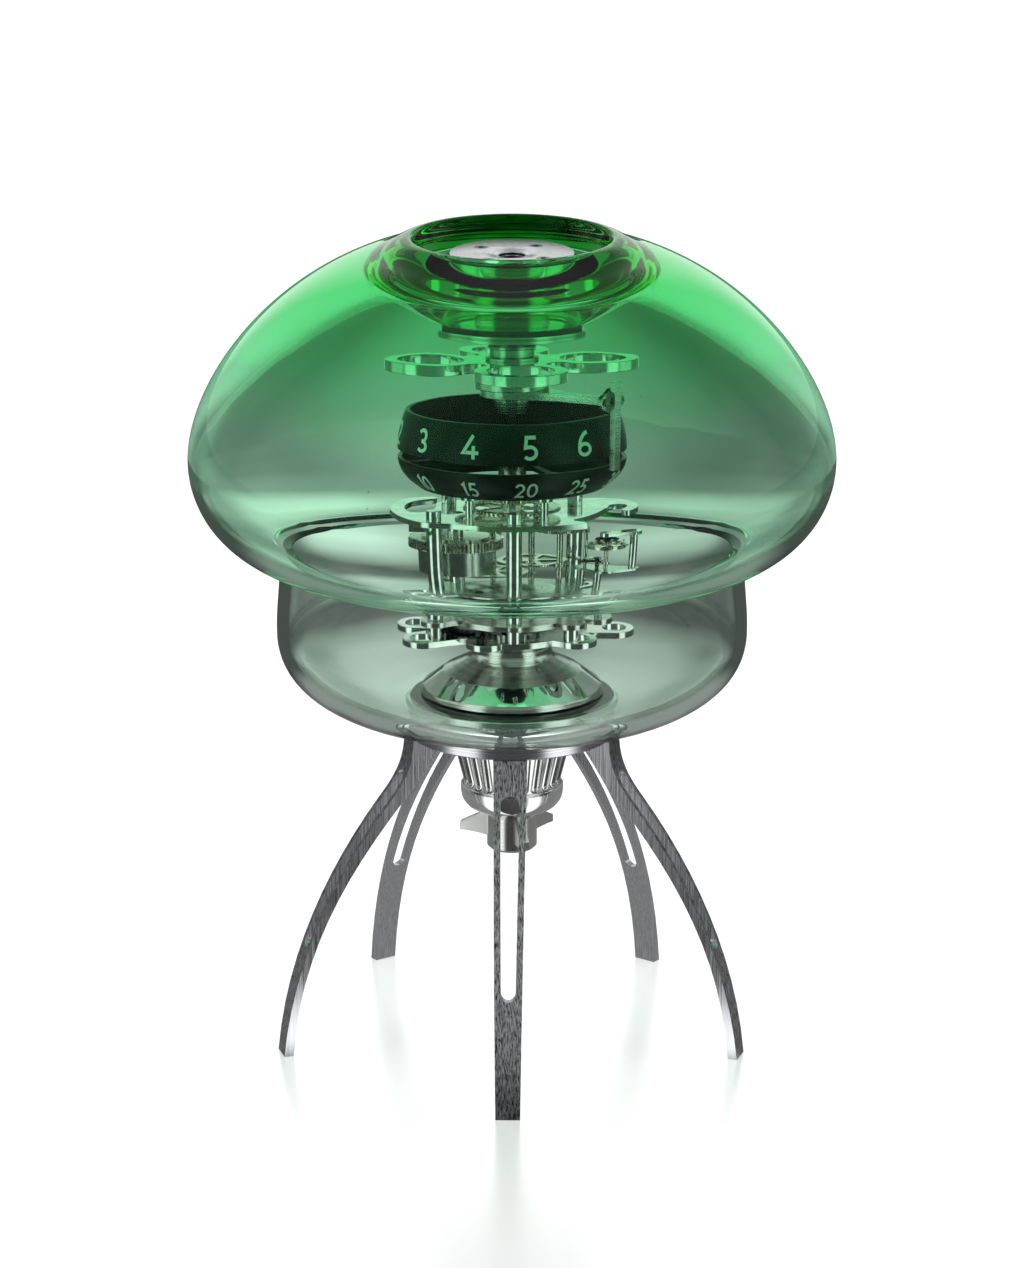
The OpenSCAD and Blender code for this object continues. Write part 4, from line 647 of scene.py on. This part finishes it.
def panelLevel(tree, flat):
    # two tall soft panels in front of the clock, left and right, told from the way a flat vector points; on
    # the floor they are painted reflections, in the sky the world's own light
    size = put(tree, "ShaderNodeVectorMath", {0: flat}, operation="LENGTH")
    parts = put(tree, "ShaderNodeSeparateXYZ", {"Vector": flat})
    wide = put(tree, "ShaderNodeMath", {0: parts.outputs["X"]}, operation="ABSOLUTE")
    share = put(tree, "ShaderNodeMath", {0: wide.outputs[0], 1: size.outputs["Value"]}, operation="DIVIDE")
    rising = put(tree, "ShaderNodeMapRange", {
        "Value": share.outputs[0], "From Min": studio["panelFrom"][0], "From Max": studio["panelFrom"][1],
        "To Min": 0.0, "To Max": studio["panel"]}, interpolation_type="SMOOTHSTEP")
    falling = put(tree, "ShaderNodeMapRange", {
        "Value": share.outputs[0], "From Min": studio["panelTo"][0], "From Max": studio["panelTo"][1],
        "To Min": 1.0, "To Max": 0.0}, interpolation_type="SMOOTHSTEP")
    deep = put(tree, "ShaderNodeMath", {0: parts.outputs["Y"], 1: size.outputs["Value"]}, operation="DIVIDE")
    ahead = put(tree, "ShaderNodeMapRange", {
        "Value": deep.outputs[0], "From Min": studio["panelFront"][0], "From Max": studio["panelFront"][1]},
        interpolation_type="SMOOTHSTEP")
    both = put(tree, "ShaderNodeMath", {0: rising.outputs[0], 1: falling.outputs[0]}, operation="MULTIPLY")
    return put(tree, "ShaderNodeMath", {0: both.outputs[0], 1: ahead.outputs[0]},
               operation="MULTIPLY").outputs[0]


def seenThrough(tree, place, share, ahead, aside, reach):
    # what glass shows behind itself: soft light in even sectors round the clock, brighter on its left; on
    # the floor this light is painted, in the sky it is the world's own light
    parts = put(tree, "ShaderNodeSeparateXYZ", {"Vector": place})
    angle = put(tree, "ShaderNodeMath", {0: parts.outputs["X"], 1: parts.outputs["Y"]}, operation="ARCTAN2")
    many = put(tree, "ShaderNodeMath", {0: angle.outputs[0], 1: studio["pools"]}, operation="MULTIPLY")
    wave = put(tree, "ShaderNodeMath", {0: many.outputs[0]}, operation="COSINE")
    isAside = put(tree, "ShaderNodeMapRange", {
        "Value": wave.outputs[0], "From Min": studio["poolEdge"][0], "From Max": studio["poolEdge"][1]},
        interpolation_type="SMOOTHSTEP")
    aheadLevel, asideLevel = [
        put(tree, "ShaderNodeValToRGB", {"Fac": share},
            stops=[(at / reach, grey(step)) for at, step in levels])
        for levels in (ahead, aside)]
    level = put(tree, "ShaderNodeMix", {"Factor": isAside.outputs[0], 2: aheadLevel.outputs[0],
                                        3: asideLevel.outputs[0]})
    side = put(tree, "ShaderNodeMapRange", {
        "Value": parts.outputs["X"], "From Min": -studio["shareWidth"], "From Max": studio["shareWidth"],
        "To Min": studio["leftShare"], "To Max": studio["rightShare"]}, interpolation_type="SMOOTHSTEP")
    return put(tree, "ShaderNodeMath", {0: level.outputs[0], 1: side.outputs[0]},
               operation="MULTIPLY").outputs[0]


shape = bmesh.new()
bmesh.ops.create_grid(shape, x_segments=1, y_segments=1, size=studio["floorSize"] / 2)
mesh = bpy.data.meshes.new("studioFloor")
shape.to_mesh(mesh)
shape.free()
floor = bpy.data.objects.new("studioFloor", mesh)
scene.collection.objects.link(floor)
sweep, tree = newMaterial("glossWhiteAcrylicSweep")  # white acrylic: a pale sheet with a faint soft mirror
mesh.materials.append(sweep)
sweep.cycles.emission_sampling = "NONE"  # the softboxes light the clock, so the floor is no lamp
# to glass and metal this floor shows painted light: glowing pools and painted softbox reflections
ray = put(tree, "ShaderNodeLightPath")
where = put(tree, "ShaderNodeTexCoord")
radius = put(tree, "ShaderNodeVectorMath", {0: where.outputs["Object"]}, operation="LENGTH")
parts = put(tree, "ShaderNodeSeparateXYZ", {"Vector": where.outputs["Object"]})
deep = put(tree, "ShaderNodeMath", {0: parts.outputs["Y"], 1: radius.outputs["Value"]}, operation="DIVIDE")
# painted reflection, what metal mirrors in the floor: painted light close by, except right in front, dark
# further out, and the two panels painted in as glows
besides = put(tree, "ShaderNodeMapRange", {
    "Value": deep.outputs[0], "From Min": studio["nearFront"][0], "From Max": studio["nearFront"][1],
    "To Min": studio["dark"], "To Max": studio["paintedNearFloorGlow"]}, interpolation_type="SMOOTHSTEP")
near = put(tree, "ShaderNodeMapRange", {
    "Value": radius.outputs["Value"], "From Min": studio["nearTo"][0], "From Max": studio["nearTo"][1],
    "To Min": besides.outputs[0], "To Max": studio["dark"]}, interpolation_type="SMOOTHSTEP")
mirrored = put(tree, "ShaderNodeMath", {0: panelLevel(tree, where.outputs["Object"]), 1: near.outputs[0]},
               operation="ADD")
# painted light: pools of light painted on the floor in sectors round the clock, brighter on its left, shown
# only to glass
share = put(tree, "ShaderNodeMath", {0: radius.outputs["Value"], 1: studio["reach"]}, operation="DIVIDE")
behind = seenThrough(tree, where.outputs["Object"], share.outputs[0], studio["floorPaintedPoolsAhead"],
                     studio["floorPaintedPoolsAside"], studio["reach"])
picked = put(tree, "ShaderNodeMix", {"Factor": ray.outputs["Glossy Depth"], 2: behind,
                                     3: mirrored.outputs[0]})
sheet = put(tree, "ShaderNodeBsdfDiffuse", {"Color": toLinear(studio["floorDiffuse"])})
shine = put(tree, "ShaderNodeBsdfGlossy", {"Color": grey(studio["floorGloss"]),
                                           "Roughness": studio["floorRough"]})
glow = put(tree, "ShaderNodeEmission", {"Color": grey(1.0), "Strength": studio["floorGlow"]})
seen = put(tree, "ShaderNodeEmission", {"Color": grey(1.0), "Strength": picked.outputs[0]})
body = put(tree, "ShaderNodeAddShader", {0: sheet.outputs[0], 1: shine.outputs[0]})
lit = put(tree, "ShaderNodeAddShader", {0: body.outputs[0], 1: glow.outputs[0]})
shown = put(tree, "ShaderNodeMath", {0: ray.outputs["Is Glossy Ray"],
                                     1: ray.outputs["Is Transmission Ray"]}, operation="MAXIMUM")
# the camera sees the sheet, glass and metal see the painted light levels above, and soft light bounces off a
# paler sheet
bounce = put(tree, "ShaderNodeBsdfDiffuse", {"Color": toLinear(studio["floorBounce"])})
other = put(tree, "ShaderNodeMixShader", {0: shown.outputs[0], 1: bounce.outputs[0], 2: seen.outputs[0]})
both = put(tree, "ShaderNodeMixShader", {0: ray.outputs["Is Camera Ray"], 1: other.outputs[0],
                                         2: lit.outputs[0]})
finishMaterial(tree, both.outputs[0])

world = bpy.data.worlds.new("softStudio")
scene.world = world
world.use_nodes = True
world.cycles.sampling_method = "NONE"
tree = world.node_tree
tree.nodes.clear()
ray = put(tree, "ShaderNodeLightPath")
way = put(tree, "ShaderNodeTexCoord")
parts = put(tree, "ShaderNodeSeparateXYZ", {"Vector": way.outputs["Generated"]})
flat = put(tree, "ShaderNodeVectorMath", {0: way.outputs["Generated"], 1: (1, 1, 0)}, operation="MULTIPLY")
size = put(tree, "ShaderNodeVectorMath", {0: flat.outputs[0]}, operation="LENGTH")
# what metal mirrors: low sky bright on the left, the right and behind, dim between, lit again overhead
across = put(tree, "ShaderNodeMath", {0: parts.outputs["X"]}, operation="ABSOLUTE")
widest = put(tree, "ShaderNodeMath", {0: across.outputs[0], 1: parts.outputs["Y"]}, operation="MAXIMUM")
share = put(tree, "ShaderNodeMath", {0: widest.outputs[0], 1: size.outputs["Value"]}, operation="DIVIDE")
low = put(tree, "ShaderNodeMapRange", {
    "Value": share.outputs[0], "From Min": studio["wedge"][0], "From Max": studio["wedge"][1],
    "To Min": studio["sideSky"], "To Max": studio["lowSky"]}, interpolation_type="SMOOTHSTEP")
middle = put(tree, "ShaderNodeMapRange", {
    "Value": parts.outputs["Z"], "From Min": studio["midFrom"][0], "From Max": studio["midFrom"][1],
    "To Min": low.outputs[0], "To Max": studio["midSky"]}, interpolation_type="SMOOTHSTEP")
overhead = put(tree, "ShaderNodeMapRange", {
    "Value": parts.outputs["Z"], "From Min": studio["topFrom"][0], "From Max": studio["topFrom"][1],
    "To Min": 0.0, "To Max": studio["topSky"]}, interpolation_type="SMOOTHSTEP")
level = put(tree, "ShaderNodeMath", {0: middle.outputs[0], 1: overhead.outputs[0]}, operation="ADD")
mirrored = put(tree, "ShaderNodeMath", {0: level.outputs[0], 1: panelLevel(tree, flat.outputs[0])},
               operation="MAXIMUM")
behind = seenThrough(tree, flat.outputs[0], parts.outputs["Z"], studio["skyAhead"], studio["skyAside"], 1.0)
picked = put(tree, "ShaderNodeMix", {"Factor": ray.outputs["Glossy Depth"], 2: behind,
                                     3: mirrored.outputs[0]})
shown = put(tree, "ShaderNodeMath", {0: ray.outputs["Is Glossy Ray"],
                                     1: ray.outputs["Is Transmission Ray"]}, operation="MAXIMUM")
strength = put(tree, "ShaderNodeMix", {"Factor": shown.outputs[0], 2: studio["softSky"],
                                       3: picked.outputs[0]})
room = put(tree, "ShaderNodeBackground", {"Color": grey(1.0), "Strength": strength.outputs[0]})
white = put(tree, "ShaderNodeBackground", {"Color": grey(1.0), "Strength": 1.0})
both = put(tree, "ShaderNodeMixShader", {0: ray.outputs["Is Camera Ray"], 1: room.outputs[0],
                                         2: white.outputs[0]})
put(tree, "ShaderNodeOutputWorld", {"Surface": both.outputs[0]})
# light crosses many walls of glass before it leaves the clock
scene.cycles.max_bounces = 28
scene.cycles.transmission_bounces = 24
scene.cycles.glossy_bounces = 12

# name: (place, aimed at, width, height, watts)
softboxes = {
    "leftSoftbox": ((-1.5, -0.5, 0.9), (0, 0, 0.2), 0.9, 1.4, 11.0),
    "rightSoftbox": ((1.6, -0.2, 0.8), (0, 0, 0.2), 0.8, 1.4, 9.0),
    "topSoftbox": ((0, 0.3, 1.7), (0, 0, 0.2), 1.1, 0.8, 8.0),
}
for name, (place, target, wide, high, watts) in softboxes.items():
    data = bpy.data.lights.new(name, "AREA")
    data.shape = "RECTANGLE"
    data.size = wide
    data.size_y = high
    data.energy = watts
    lamp = bpy.data.objects.new(name, data)
    lamp.visible_glossy = False
    lamp.visible_transmission = False
    scene.collection.objects.link(lamp)
    way = Vector(target) - Vector(place)
    lamp.matrix_world = Matrix.Translation(place) @ way.to_track_quat("-Z", "Y").to_matrix().to_4x4()
print("studio: floor, sky and", len(softboxes), "softboxes")

view = {"place": (0, -1.77816, 0.72285), "tilt": 72.55, "lens": 136.2}
cameraData = bpy.data.cameras.new("photoCamera")
cameraData.lens = view["lens"]
cameraData.sensor_width = 36
camera = bpy.data.objects.new("photoCamera", cameraData)
scene.collection.objects.link(camera)
camera.location = view["place"]
camera.rotation_euler = (math.radians(view["tilt"]), 0, 0)
scene.camera = camera
